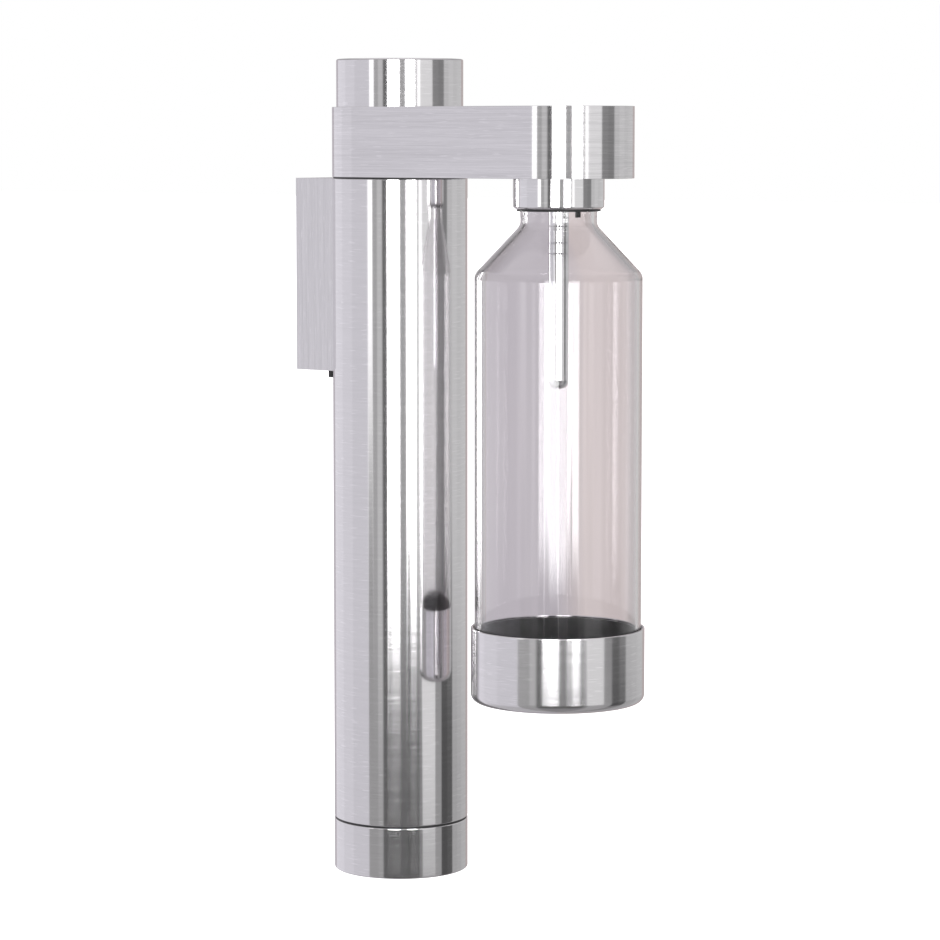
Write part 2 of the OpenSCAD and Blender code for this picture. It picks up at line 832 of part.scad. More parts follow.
// Hollow fitting with a hexagon that screws in sideways
module fitting(angle, wall_r, hex_len) {
    difference() {
        union() {
            sideways(angle, fitting_thread_r, wall_r - fitting_depth, wall_r + overrun);
            sideways(angle, fitting_r, wall_r, wall_r + hex_len);
        }
        sideways(angle, port_r, wall_r - fitting_depth - overrun, wall_r + hex_len + overrun);
    }
}

// Fitting on the valve block for the gas hose
module inlet_fitting() {
    color(brass) on_column() fitting(-90, tower_r, fitting_r * 2);
}

// Fitting on the nozzle head for the gas hose
module outlet_fitting() {
    color(brass) on_bottle() fitting(90, nozzle_boss_r, fitting_r * 2);
}

// Pressure hose between the two fittings
module gas_hose() {
    color(hose_blue) on_column() difference() {
        sideways(-90, hose_r, tower_r + fitting_r * 2, bottle_reach - nozzle_boss_r - fitting_r * 2);
        sideways(-90, hose_r / 2, tower_r, bottle_reach - nozzle_boss_r);
    }
}

// Head over the bottle: feeds the gas tube and carries the collar and the seal
module nozzle_head() {
    color(polished) on_bottle() difference() {
        union() {
            rod(nozzle_boss_r, chassis_bottom - snug, tower_top);
            rod(nozzle_flange_r, deck, chassis_bottom);
            rod(collar_in_r - snug, nozzle_face, deck + snug);
        }
        rod(check_valve_r + snug, port_z - check_valve_h, port_z + fitting_thread_r);
        rod(stem_bore_r, nozzle_face, port_z);
        rod(stem_socket_r + snug, nozzle_face - overrun, nozzle_face + stem_socket_h);
        sideways(90, fitting_thread_r + snug, nozzle_boss_r - fitting_depth, nozzle_boss_r + overrun);
        sideways(90, port_r, 0, nozzle_boss_r);
        rotate([0, 0, vent_angle]) translate([vent_reach, 0, 0])
            rod(vent_r + snug, nozzle_face - overrun, chassis_bottom - flange_h / 2);
        around(chassis_screw_count, nozzle_screw_circle_r, 180 / chassis_screw_count)
            rod(chassis_screw_r + hole_gap, chassis_top - chassis_screw_len - overrun,
                chassis_bottom + overrun);
    }
}

// Cartridge that lets gas down into the bottle and no water back up
module check_valve() {
    color(black) on_bottle() ring(stem_bore_r / 2, check_valve_r,
        port_z - check_valve_h, port_z - fitting_thread_r);
}

// Soft ring that the bottle's neck closes against
module bottle_seal() {
    color(silicone) on_bottle() difference() {
        ring(tube_r + soft_gap, neck_r, seal_bottom, nozzle_face);
        rotate([0, 0, vent_angle]) translate([vent_reach, 0, 0])
            rod(vent_r + hole_gap, seal_bottom - overrun, nozzle_face + overrun);
    }
}

// Black vent nipple that shows in the neck just below the collar
module vent_nipple() {
    color(black) on_bottle() rotate([0, 0, vent_angle]) translate([vent_reach, 0, 0]) difference() {
        rod(vent_r, collar_bottom - vent_below, chassis_bottom - flange_h / 2);
        rod(vent_bore_r, collar_bottom - vent_below - overrun, nozzle_face);
    }
}

// Stem between the nozzle head and the gas tube
module nozzle_stem() {
    color(polished) on_bottle() difference() {
        union() {
            rod(stem_socket_r, nozzle_face - snug, nozzle_face + stem_socket_h);
            rod(tube_r, stem_joint, nozzle_face);
            rod(stem_socket_r, stem_joint - stem_socket_h, stem_joint + snug);
        }
        rod(stem_bore_r, stem_joint - stem_socket_h - overrun, nozzle_face + stem_socket_h + overrun);
    }
}

// Polished tube that carries the gas down into the water
module carbonation_tube() {
    color(polished) on_bottle() difference() {
        union() {
            rod(tube_r, tip_z + tube_r, stem_joint);
            translate([0, 0, tip_z + tube_r]) sphere(r = tube_r);
        }
        rod(stem_socket_r + snug, stem_joint - stem_socket_h - snug, stem_joint + overrun);
        rod(tube_bore_r, tip_z + tube_r, stem_joint);
        rod(jet_r, tip_z - overrun, stem_joint);
    }
}

// Polished collar, chamfered below, that hides the neck and traps the bayonet bush
module collar() {
    lip_r = lip_in_r + collar_lip_edge;
    color(polished) on_bottle() rotate_extrude() polygon([
        [lip_in_r, collar_bottom], [lip_r, collar_bottom],
        [collar_r, collar_bottom + collar_chamfer_h], [collar_r, deck - snug],
        [collar_in_r, deck - snug], [collar_in_r, collar_bottom + collar_lip_h],
        [lip_in_r, collar_bottom + collar_lip_h]
    ]);
}

// Plastic sleeve on top of the valve block in which the cap's stem slides
module cap_guide() {
    color(black) on_column() difference() {
        union() {
            rod(guide_flange_r, guide_low, guide_low + guide_flange_h);
            rod(stem_r + running + guide_wall_r, guide_low, guide_high);
        }
        rod(stem_r + running, guide_low + guide_flange_h / 2, guide_high + overrun);
        rod(rod_r + running, guide_low - overrun, guide_high);
        around(guide_screw_count, guide_screw_circle_r, guide_screw_turn)
            rod(guide_screw_r + hole_gap, guide_low - overrun, guide_low + guide_flange_h + overrun);
        around(guide_screw_count, guide_screw_circle_r, guide_screw_turn)
            rod(guide_screw_head_r + hole_gap, guide_low + guide_flange_h / 2,
                guide_low + guide_flange_h + overrun);
    }
}

// Three small screws that hold the cap guide on the block
module guide_screws() {
    color(steel) on_column() around(guide_screw_count, guide_screw_circle_r, guide_screw_turn)
        translate([0, 0, guide_low + guide_flange_h])
            cap_screw(guide_screw_r, guide_screw_head_r, guide_flange_h / 2,
                guide_screw_len, guide_screw_r / 2, guide_flange_h / 4);
}

// Brushed cap that is pressed down to let gas into the bottle
module press_cap() {
    color(steel) on_column() rotate_extrude() polygon(concat(
        [[0, cap_under], [cap_r - cap_wall, cap_under], [cap_r - cap_wall, cap_bottom], [cap_r, cap_bottom]],
        arc([cap_r - cap_edge_r, cap_top - cap_edge_r], cap_edge_r, 0, 90),
        [[0, cap_top]]
    ));
}

// Plastic carrier inside the cap, with the stem that slides in the guide
module cap_carrier() {
    out = cap_r - cap_wall - snug;
    color(black) on_column() difference() {
        union() {
            rod(out, carrier_bottom, cap_under);
            ring(out - guide_wall, out, carrier_bottom - carrier_lip, carrier_bottom + snug);
            rod(stem_r, carrier_stem_bottom, carrier_bottom + snug);
        }
        rod(rod_r + snug, carrier_stem_bottom - overrun, rod_top);
    }
}

// Steel rod from the cap down through the block to the cylinder's valve pin
module push_rod() {
    color(polished) on_column() rod(rod_r, rod_bottom, rod_top);
}

// Ring on the cap's skirt that stops it under the arm's top
module cap_stop_ring() {
    color(steel) on_column() ring(cap_r, stop_ring_r,
        arm_ceiling - face_gap - stop_ring_thick, arm_ceiling - face_gap);
}

// Spring that lifts the cap again
module cap_spring() {
    color(polished) on_column() coil(spring_r, spring_wire_r, guide_low + guide_flange_h,
        carrier_bottom, spring_turns);
}

// A band of the given angle on each lug's place
module lugs(inner, outer, low, high, angle) {
    for (i = [0 : lug_count - 1]) rotate([0, 0, i * full_turn / lug_count - angle / 2 - 90])
        rotate_extrude(angle = angle) translate([inner, low]) square([outer - inner, high - low]);
}

// Bush in the collar that the bottle's lugs slide up into and that turns with the bottle
module bayonet_bush() {
    color(black) on_bottle() difference() {
        ring(bush_in_r, bush_out_r, bush_low, bush_high);
        lugs(bush_in_r - overrun, channel_r, bush_low - overrun, bush_high - channel_roof, channel_angle);
    }
}

// Outline of the bottle's outside, from the axis below round to the neck's top
function glass_outside() = concat(
    [[0, glass_bottom + punt_h], [punt_r / 2, glass_bottom + punt_h], [punt_r, glass_bottom]],
    arc([glass_r - glass_foot_r, glass_bottom + glass_foot_r], glass_foot_r, -90, 0),
    arc([glass_r - glass_blend_r, cone_end - glass_blend_r * tan(shoulder_angle / 2)],
        glass_blend_r, 0, shoulder_angle),
    arc([waist_r + waist_blend_r, cone_start + waist_blend_r * tan(shoulder_angle / 2)],
        waist_blend_r, 180 + shoulder_angle, 180),
    [[waist_r, bead_bottom + neck_waist / 2], [neck_bead_r, bead_bottom + neck_waist],
     [neck_bead_r, bead_top], [neck_r, bead_top + neck_waist / 2], [neck_r, neck_top]]
);

// Outline of the bottle's inside, from the neck's top down to the axis
function glass_inside() = let (
        r = glass_r - glass_wall, w = glass_wall, lift = tan(shoulder_angle / 2),
        low = glass_bottom + glass_floor, foot = glass_foot_r - w, throat_r = waist_blend_r + w,
        throat_z = cone_end + (glass_r - neck_hole_r) / tan(shoulder_angle) - w / sin(shoulder_angle))
    concat(
        [[neck_hole_r, neck_top]],
        arc([neck_hole_r + throat_r, throat_z + throat_r * lift], throat_r, 180, 180 + shoulder_angle),
        arc([glass_r - glass_blend_r, cone_end - glass_blend_r * lift], glass_blend_r - w, shoulder_angle, 0),
        arc([r - foot, low + foot], foot, 0, -90),
        [[0, low]]
    );

// Clear glass bottle with three lugs on its neck
module bottle_glass() {
    lug_high = neck_top - lug_below_top;
    color(glass) on_bottle() union() {
        rotate_extrude() polygon(concat(glass_outside(), glass_inside()));
        lugs(neck_r - glass_wall / 2, neck_bead_r, lug_high - lug_h, lug_high, lug_angle);
    }
}

// Steel cup on the foot of the bottle
module bottle_cup() {
    inner = cup_edge_r - cup_wall;
    color(steel) on_bottle() rotate_extrude() polygon(concat(
        [[0, cup_bottom]],
        arc([cup_r - cup_edge_r, cup_bottom + cup_edge_r], cup_edge_r, -90, 0),
        [[cup_r, cup_top], [cup_r - cup_wall, cup_top]],
        arc([cup_r - cup_wall - inner, cup_bottom + cup_wall + inner], inner, 0, -90),
        [[0, cup_bottom + cup_wall]]
    ));
}

// Rubber disc between the glass and the cup's floor
module cup_cushion() {
    color(black) on_bottle() rod(glass_r - glass_foot_r, cup_bottom + cup_wall, glass_bottom);
}

// Thin rubber sleeve between the glass and the cup's wall
module cup_lining() {
    color(black) on_bottle() ring(glass_r + face_gap, cup_r - cup_wall - face_gap,
        cup_bottom + cup_edge_r, cup_top - lining_sink);
}

// Black ring that turns in the column's foot; its rim is the dark line above the base cap
module lock_ring() {
    color(black) on_column() union() {
        ring(lock_in_r, lock_out_r, column_bottom - seam_gap + face_gap, lock_top);
        ring(lock_in_r, column_r - flange_inset,
            column_bottom - seam_gap + face_gap, column_bottom - face_gap);
        intersection() {
            ring(lock_in_r - key_depth, lock_in_r + snug, key_low, lock_top);
            for (i = [0 : key_count - 1]) rotate([0, 0, i * full_turn / key_count])
                translate([0, -key_w / 2, key_low]) cube([column_r, key_w, lock_top - key_low]);
        }
    }
}

// Brushed cap that closes the column's foot
module base_cap() {
    color(steel) on_column() rotate_extrude() polygon([
        [0, base_bottom], [base_r - base_edge, base_bottom], [base_r, base_bottom + base_edge],
        [base_r, base_top], [base_r - base_wall, base_top],
        [base_r - base_wall, base_bottom + base_wall], [0, base_bottom + base_wall]
    ]);
}

// Plastic lining of the base cap, whose slotted collar slides down out of the lock ring
module base_insert() {
    color(black) on_column() difference() {
        union() {
            ring(insert_in_r, base_r - base_wall - snug, base_bottom + base_wall, base_top - face_gap);
            ring(insert_in_r, insert_collar_r, base_bottom + base_wall, insert_top);
        }
        for (i = [0 : key_count - 1]) rotate([0, 0, i * full_turn / key_count])
            translate([insert_in_r - overrun, -key_w / 2 - slide_gap, key_low - overrun])
                cube([column_r, key_w + 2 * slide_gap, lock_top - key_low + 2 * overrun]);
    }
}

// Rubber pad that the gas cylinder stands on
module cylinder_pad() {
    color(black) on_column() rod(insert_in_r - snug, base_bottom + base_wall, cylinder_bottom);
}

// Aluminium gas cylinder
module gas_cylinder() {
    inner_shoulder = shoulder_r - cylinder_wall;
    inner_foot = foot_edge_r - cylinder_wall / 2;
    inner_r = cylinder_r - cylinder_wall;
    inner_low = cylinder_bottom + cylinder_dish + cylinder_wall;
    color(aluminium) on_column() difference() {
        union() {
            rotate_extrude() polygon(concat(
                [[0, cylinder_bottom + cylinder_dish],
                 [dish_share * cylinder_r, cylinder_bottom + cylinder_dish],
                 [rim_share * cylinder_r, cylinder_bottom]],
                arc([cylinder_r - foot_edge_r, cylinder_bottom + foot_edge_r], foot_edge_r, -90, 0),
                arc([cylinder_r - shoulder_r, shoulder_z], shoulder_r, 0, 90),
                [[0, shoulder_top]]
            ));
            rod(neck_ring_r, shoulder_z, neck_ring_top);
        }
        rotate_extrude() polygon(concat(
            [[0, inner_low]],
            arc([inner_r - inner_foot, inner_low + inner_foot], inner_foot, -90, 0),
            arc([inner_r - inner_shoulder, shoulder_z], inner_shoulder, 0, 90),
            [[0, shoulder_top - cylinder_wall]]
        ));
        rod(neck_bore_r, shoulder_z, neck_ring_top + overrun);
    }
}

// Brass valve on the cylinder, with the thread that screws into the block
module cylinder_valve() {
    color(brass) on_column() difference() {
        union() {
            rod(neck_bore_r - snug, neck_ring_top - plug_h, neck_ring_top + snug);
            rod(shaft_r, neck_ring_top, hex_bottom + snug);
            translate([0, 0, hex_bottom]) rotate([0, 0, hex_turn])
                cylinder(r = valve_flats / sqrt(3), h = hex_h, $fn = 6);
            rod(valve_thread_r, thread_bottom - snug, valve_top);
        }
        rod(pin_mouth_r, valve_top - pin_mouth_h, valve_top + overrun);
        rod(pin_r + running, seat_z - overrun, valve_top);
        rod(valve_chamber_r, valve_floor, seat_z);
        rod(dip_r, neck_ring_top - plug_h - overrun, valve_floor + overrun);
    }
}

// Nut on the valve's side that holds the safety disc
module burst_disc_nut() {
    color(brass) on_column() translate([0, 0, hex_bottom + hex_h / 2]) rotate([0, 90, 0])
        rod(burst_r, valve_flats / 2, valve_flats / 2 + burst_out);
}

// Pin that opens the cylinder's valve when the push rod presses it
module valve_pin() {
    color(polished) on_column() union() {
        rod(pin_r, seat_z - poppet_h, pin_top);
        rod(poppet_r, seat_z - poppet_h - hole_gap, seat_z - hole_gap);
    }
}

// Spring that closes the valve pin
module valve_spring() {
    color(polished) on_column() coil(pin_spring_r, pin_spring_wire_r, valve_floor,
        seat_z - poppet_h - hole_gap, pin_spring_turns);
}

wall_plate();
bracket_core();
bracket_cover();
saddle_pad();
lock_bar();
lock_screw();
column_tube();
column_screws();
upper_guide_ring();
lower_guide_ring();
foot_ring();
column_head();
swivel_bush();
arm_shell();
arm_underside();
underside_screws();
arm_chassis();
chassis_screws();
valve_block();
valve_gasket();
rod_seal();
relief_valve();
thrust_washer();
arm_circlip();
swing_stop_pin();
inlet_fitting();
gas_hose();
outlet_fitting();
nozzle_head();
check_valve();
bottle_seal();
vent_nipple();
nozzle_stem();
carbonation_tube();
collar();
cap_guide();
guide_screws();
press_cap();
cap_carrier();
push_rod();
cap_stop_ring();
cap_spring();
bayonet_bush();
bottle_glass();
bottle_cup();
cup_cushion();
cup_lining();
lock_ring();
base_cap();
base_insert();
cylinder_pad();
gas_cylinder();
cylinder_valve();
burst_disc_nut();
valve_pin();
valve_spring();
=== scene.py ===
# %% [markdown]
# A wall-mounted sparkling water maker in brushed steel.
# A round column holds the gas cylinder, an arm on top of it carries the press cap and
# the collar, and a clear bottle hangs under the arm's outer end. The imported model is
# the fixed frame: it gives every place and size, and this script dresses it.
# Lengths are in metres. +Y runs into the wall, +Z is up, and the arm points along -Y.

# %% Load the frame
import json
import math

import bmesh
import bpy
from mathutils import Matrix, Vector


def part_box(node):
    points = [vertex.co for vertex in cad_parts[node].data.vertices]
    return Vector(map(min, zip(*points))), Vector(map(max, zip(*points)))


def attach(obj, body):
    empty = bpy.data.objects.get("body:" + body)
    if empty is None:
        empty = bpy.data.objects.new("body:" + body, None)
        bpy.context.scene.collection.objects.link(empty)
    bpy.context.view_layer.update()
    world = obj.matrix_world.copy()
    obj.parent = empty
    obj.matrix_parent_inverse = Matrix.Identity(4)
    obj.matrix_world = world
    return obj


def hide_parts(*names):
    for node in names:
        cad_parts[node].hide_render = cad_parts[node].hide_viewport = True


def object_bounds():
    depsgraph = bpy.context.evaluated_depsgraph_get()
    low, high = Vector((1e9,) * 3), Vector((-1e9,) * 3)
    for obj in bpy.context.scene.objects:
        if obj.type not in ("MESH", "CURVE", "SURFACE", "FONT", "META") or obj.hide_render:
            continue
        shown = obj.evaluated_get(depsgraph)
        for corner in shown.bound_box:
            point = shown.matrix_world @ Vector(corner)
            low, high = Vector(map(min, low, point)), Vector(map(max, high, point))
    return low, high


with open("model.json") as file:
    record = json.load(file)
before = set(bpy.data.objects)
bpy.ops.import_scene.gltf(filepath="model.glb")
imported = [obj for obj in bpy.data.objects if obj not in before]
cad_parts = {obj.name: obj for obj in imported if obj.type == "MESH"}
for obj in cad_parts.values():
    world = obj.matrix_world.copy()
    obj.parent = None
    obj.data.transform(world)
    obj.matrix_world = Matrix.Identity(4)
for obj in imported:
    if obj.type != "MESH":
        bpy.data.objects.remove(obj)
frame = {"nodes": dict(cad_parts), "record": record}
cad_low, cad_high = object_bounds()
NODES = frame["nodes"]
RECORD = frame["record"]
BODY_OF = {n: body for body, members in RECORD["behaviour"]["bodies"].items() for n in members}
SLOT_OF = {part["node"]: part["material_slot"] for part in RECORD["subparts"]}

# %% [markdown]
# The camera stands where the photographer's did: a long lens, a little above the arm,
# turned so that the arm points right and towards it. The place was worked out from
# widths and heights in the photograph, which fix the lens, the distance and the tilt.
# A plain camera object with no shift is enough, because the picture isn't cropped.

# %% Camera
CAMERA_AZIMUTH = math.radians(-53.67)
CAMERA_TILT = math.radians(5.648)
CAMERA_DISTANCE = 1.7635
CAMERA_HEIGHT = 0.0729
CAMERA_ASIDE = 0.0362
SENSOR_WIDTH = 36.0
PICTURE_PIXELS = 940
FOCAL_PIXELS = 3400
LENS = FOCAL_PIXELS / PICTURE_PIXELS * SENSOR_WIDTH


def centre_of(node):
    """The middle of a node's box, as a point on its axis."""
    low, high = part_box(node)
    return (low + high) / 2


column_axis = centre_of("column_tube")
bottle_axis = centre_of("bottle_glass")
toward_camera = Vector((math.sin(CAMERA_AZIMUTH), -math.cos(CAMERA_AZIMUTH), 0))
picture_right = Vector((math.cos(CAMERA_AZIMUTH), math.sin(CAMERA_AZIMUTH), 0))
camera_place = column_axis + toward_camera * CAMERA_DISTANCE + picture_right * CAMERA_ASIDE
camera_place.z = CAMERA_HEIGHT
camera_back = toward_camera * math.cos(CAMERA_TILT) + Vector((0, 0, math.sin(CAMERA_TILT)))

camera_data = bpy.data.cameras.new("camera")
camera_data.sensor_width = SENSOR_WIDTH
camera_data.lens = LENS
camera = bpy.data.objects.new("camera", camera_data)
camera.location = camera_place
camera.rotation_mode = "QUATERNION"
camera.rotation_quaternion = (-camera_back).to_track_quat("-Z", "Y")
bpy.context.scene.collection.objects.link(camera)
bpy.context.scene.camera = camera
print("camera at", [round(v, 3) for v in camera_place], "lens", round(LENS, 1))

# %% [markdown]
# The room and every finish are built from shader nodes. A few short helpers add a node
# and link its inputs in one call, so that each finish reads as a list of what it does.

# %% Helpers for shader nodes
def add_node(tree, kind, settings=(), **inputs):
    """Adds a shader node. Inputs are values, or sockets to link from."""
    node = tree.nodes.new(kind)
    for name, value in dict(settings).items():
        setattr(node, name, value)
    for name, value in inputs.items():
        key = int(name[1:]) if name[0] == "i" and name[1:].isdigit() else name.replace("_", " ")
        if isinstance(value, bpy.types.NodeSocket):
            tree.links.new(value, node.inputs[key])
        else:
            node.inputs[key].default_value = value
    return node


def math_node(tree, operation, *values):
    """A math node with its inputs in order; returns its value."""
    inputs = {f"i{i}": v for i, v in enumerate(values)}
    return add_node(tree, "ShaderNodeMath", {"operation": operation}, **inputs).outputs[0]


def vector_node(tree, operation, output=0, **inputs):
    """A vector math node; returns one of its outputs."""
    return add_node(tree, "ShaderNodeVectorMath", {"operation": operation}, **inputs).outputs[output]


def mixed(tree, share, a, b):
    """A colour mix; returns its colour."""
    node = add_node(tree, "ShaderNodeMix", {"data_type": "RGBA"})
    for socket, value in ((node.inputs[0], share), (node.inputs[6], a), (node.inputs[7], b)):
        if isinstance(value, bpy.types.NodeSocket):
            tree.links.new(value, socket)
        else:
            socket.default_value = value
    return node.outputs[2]


def ramp(tree, value, stops):
    """A colour ramp over (position, colour) stops; returns its colour."""
    node = add_node(tree, "ShaderNodeValToRGB", i0=value)
    elements = node.color_ramp.elements
    elements[0].position, elements[0].color = stops[0]
    elements[1].position, elements[1].color = stops[-1]
    for position, colour in stops[1:-1]:
        elements.new(position).color = colour
    return node.outputs[0]


def limits(tree, value, low, high, to_low=0.0, to_high=1.0):
    """A value that runs from one pair of limits to another; returns it."""
    return add_node(tree, "ShaderNodeMapRange", i0=value, i1=low, i2=high, i3=to_low,
                    i4=to_high).outputs[0]


def soft_step(tree, value, start, full, cover=1.0):
    """A smooth rise from nothing at start to cover at full; returns it."""
    return add_node(tree, "ShaderNodeMapRange", {"interpolation_type": "SMOOTHSTEP"}, i0=value,
                    i1=start, i2=full, i4=cover).outputs[0]


print("shader helpers ready")

# %% [markdown]
# Polished and brushed steel show nothing but the room, so the room does most of the
# work. It could be built from lamps and cards, but a world shader is steadier: tall
# strip lights and dark flags stand round the object as bands over the compass angle,
# and they end a little below the horizon. The strips end sharply there, because clear
# glass needs them bright, and the steel's own blur makes their tails on the column.

# %% The bands of the room
PLAIN = (1.0, 1.0, 1.0)
MAUVE = (1.0, 0.985, 1.045)
LILAC = (1.0, 0.94, 1.01)
PINK = (1.0, 0.89, 0.88)
SOFT_EDGE = 0.6
# Angle from the camera where each band starts and ends, brightness above and below its
# lower end, the height of that end and how softly it fades, and its tint. Angles and
# heights are in degrees.
BANDS = [
    (-180, -150, 0.54, 0.54, -9, 2, LILAC),
    (-150, -116, 0.82, 0.80, -9, 2, MAUVE),
    (-116, -89, 0.76, 0.74, -9, 2, MAUVE),
    (-89, -56, 0.70, 0.68, -9, 2, MAUVE),
    (-56, -47, 1.5, 0.36, -4.7, 2.5, PLAIN),
    (-47, -38.5, 0.44, 0.36, -9, 2, PLAIN),
    (-38.5, -29.5, 0.60, 0.38, -10, 2, PLAIN),
    (-29.5, -20.4, 0.15, 0.13, -10, 2, PLAIN),
    (-20.4, -13.5, 8.0, 0.12, -7.0, 0.9, PLAIN),
    (-13.5, -0.3, 8.0, 0.12, -7.45, 0.6, PLAIN),
    (-0.3, 12.5, 0.42, 0.13, -9, 2, PLAIN),
    (12.5, 18.0, 8.0, 0.11, -5.6, 0.9, PLAIN),
    (18.0, 27.0, 8.0, 0.13, -7.1, 0.7, PLAIN),
    (27.0, 33.0, 0.70, 0.14, -8.4, 1.5, PLAIN),
    (33.0, 38.0, 1.5, 0.24, -7.0, 3.0, PLAIN),
    (38.0, 63.0, 0.82, 0.40, -11.8, 1.5, PLAIN),
    (63.0, 75.0, 0.27, 0.36, -8.5, 1.5, PLAIN),
    (75.0, 88.5, 0.24, 0.09, -8, 2, PLAIN),
    (88.5, 101.0, 0.58, 0.11, -7.5, 2.2, PLAIN),
    (101.0, 115.0, 0.64, 0.42, -8.5, 2, PLAIN),
    (115.0, 128.0, 0.60, 0.45, -9, 2, PLAIN),
    (128.0, 150.0, 0.62, 0.50, -9, 2, PLAIN),
    (150.0, 170.0, 0.52, 0.48, -9, 2, PINK),
    (170.0, 178.2, 0.68, 0.64, -9, 2, PINK),
    (178.2, 180.0, 0.54, 0.54, -9, 2, LILAC),
]
# Above the bands comes a darker gap and then a pale ceiling; far below lies a floor.
# Each has the heights where it starts and is full, how much it covers, and its colour.
LAYERS = [
    (math.radians(6), math.radians(14), 0.95, (0.42, 0.412, 0.42, 1)),
    (math.radians(30), math.radians(54), 1.0, (0.80, 0.78, 0.80, 1)),
    (math.radians(-20), math.radians(-44), 0.6, (0.36, 0.352, 0.36, 1)),
]
print("room bands:", len(BANDS), "layers:", len(LAYERS))

# %% [markdown]
# A ramp over the compass angle turns the bands into colour. One ramp gives what stands
# above the bands' lower ends, one what lies below, and a third carries the heights of
# those ends, squeezed into colour channels. The object sees this room; the camera sees
# a plain white backdrop behind it.

# %% The room
FULL_TURN = 360
HEIGHT_SPAN = 40.0


def band_stops(pick, bands):
    """Ramp stops for some bands, each soft at its ends; pick makes a band's colour."""
    stops = []
    for band in bands:
        colour = tuple(pick(band)) + (1,)
        for angle in (band[0] + SOFT_EDGE / 2, band[1] - SOFT_EDGE / 2):
            stops.append((angle / FULL_TURN + 0.5, colour))
    return stops


def banded(tree, share, pick):
    """A colour over the compass, from two ramps because one holds too few stops."""
    half = len(BANDS) // 2
    left = ramp(tree, share, band_stops(pick, BANDS[:half]))
    right = ramp(tree, share, band_stops(pick, BANDS[half:]))
    cut = math_node(tree, "GREATER_THAN", share, BANDS[half][0] / FULL_TURN + 0.5)
    return mixed(tree, cut, left, right)


def band_room(tree, share, height):
    """The bands' colour for a compass share and a height in radians."""
    above = banded(tree, share, lambda band: (band[2] * t for t in band[6]))
    below = banded(tree, share, lambda band: (band[3] * t for t in band[6]))
    ends = banded(tree, share, lambda band: (band[4] / HEIGHT_SPAN + 0.5, band[5] / HEIGHT_SPAN, 0))
    end, soft, _ = add_node(tree, "ShaderNodeSeparateColor", i0=ends).outputs
    level = math_node(tree, "MULTIPLY_ADD", height, math.degrees(1) / HEIGHT_SPAN, 0.5)
    over = soft_step(tree, level, math_node(tree, "SUBTRACT", end, soft),
                     math_node(tree, "ADD", end, soft))
    return mixed(tree, over, below, above)


def build_room():
    """The world: a band-lit room for the object, a white backdrop for the camera."""
    world = bpy.data.worlds.new("studio")
    bpy.context.scene.world = world
    world.use_nodes = True
    tree = world.node_tree
    tree.nodes.clear()
    way = add_node(tree, "ShaderNodeTexCoord").outputs["Generated"]
    x, y, z = add_node(tree, "ShaderNodeSeparateXYZ", i0=way).outputs
    compass = math_node(tree, "ARCTAN2", x, math_node(tree, "MULTIPLY", y, -1.0))
    turned_by = math_node(tree, "SUBTRACT", compass, CAMERA_AZIMUTH)
    share = math_node(tree, "FRACT", math_node(tree, "MULTIPLY_ADD", turned_by, 1 / math.tau, 0.5))
    height = math_node(tree, "ARCSINE", z)
    room = band_room(tree, share, height)
    for start, full, cover, colour in LAYERS:
        room = mixed(tree, soft_step(tree, height, start, full, cover), room, colour)
    seen = add_node(tree, "ShaderNodeLightPath").outputs["Is Camera Ray"]
    shader = add_node(tree, "ShaderNodeBackground", Color=mixed(tree, seen, room, (1, 1, 1, 1)))
    add_node(tree, "ShaderNodeOutputWorld", Surface=shader.outputs[0])
    print("world nodes:", len(tree.nodes))


build_room()
bpy.context.scene.view_settings.view_transform = "Standard"

# %% [markdown]
# The machine hangs on a wall, so the floor lies well below it. It is a plain pale
# sheet that glows a little, so that it stays as even as the backdrop, and the steel
# doesn't mirror it.

# %% Floor
FLOOR_DROP = 0.35
FLOOR_SIZE = 30.0
FLOOR_SETTINGS = {
    "Base Color": (0.9, 0.9, 0.9, 1), "Roughness": 0.9, "Emission Color": (1, 1, 1, 1),
    "Emission Strength": 1.0,
}


def build_floor():
    """A plain pale floor under the object."""
    bm = bmesh.new()
    bmesh.ops.create_grid(bm, x_segments=1, y_segments=1, size=FLOOR_SIZE)
    bmesh.ops.translate(bm, vec=(0, 0, cad_low.z - FLOOR_DROP), verts=bm.verts)
    mesh = bpy.data.meshes.new("floor")
    bm.to_mesh(mesh)
    bm.free()
    floor = bpy.data.objects.new("floor", mesh)
    bpy.context.scene.collection.objects.link(floor)
    material = bpy.data.materials.new("floor_paper")
    material.use_nodes = True
    shader = material.node_tree.nodes["Principled BSDF"]
    for socket, value in FLOOR_SETTINGS.items():
        shader.inputs[socket].default_value = value
    mesh.materials.append(material)
    floor.visible_glossy = False
    floor.visible_transmission = False
    print("floor at", round(cad_low.z - FLOOR_DROP, 3))


build_floor()

# %% [markdown]
# Every finish starts as a material with one principled shader. What varies over its
# surface comes from noise on Object coordinates, which stay with the piece when it
# moves: a noise value is spread to a range and drives colour, roughness or height.

# %% Helpers for finishes
FINISH = {}
NOISE_LOW = 0.3
NOISE_HIGH = 0.7
ROUGH_LOW = 0.85
ROUGH_HIGH = 1.15


def new_material(name):
    """Makes a finish under a name; returns its tree and its shader."""
    material = bpy.data.materials.new(name)
    material.use_nodes = True
    FINISH[name] = material
    return material.node_tree, material.node_tree.nodes["Principled BSDF"]


def link_surface(tree, shader, colour=None, roughness=None, normal=None, tangent=None):
    """Links what varies over the surface to the shader."""
    for socket, value in (("Base Color", colour), ("Roughness", roughness),
                          ("Normal", normal), ("Tangent", tangent)):
        if value is not None:
            tree.links.new(value, shader.inputs[socket])


def object_place(tree):
    """The point on the piece, in its own space."""
    return add_node(tree, "ShaderNodeTexCoord").outputs["Object"]


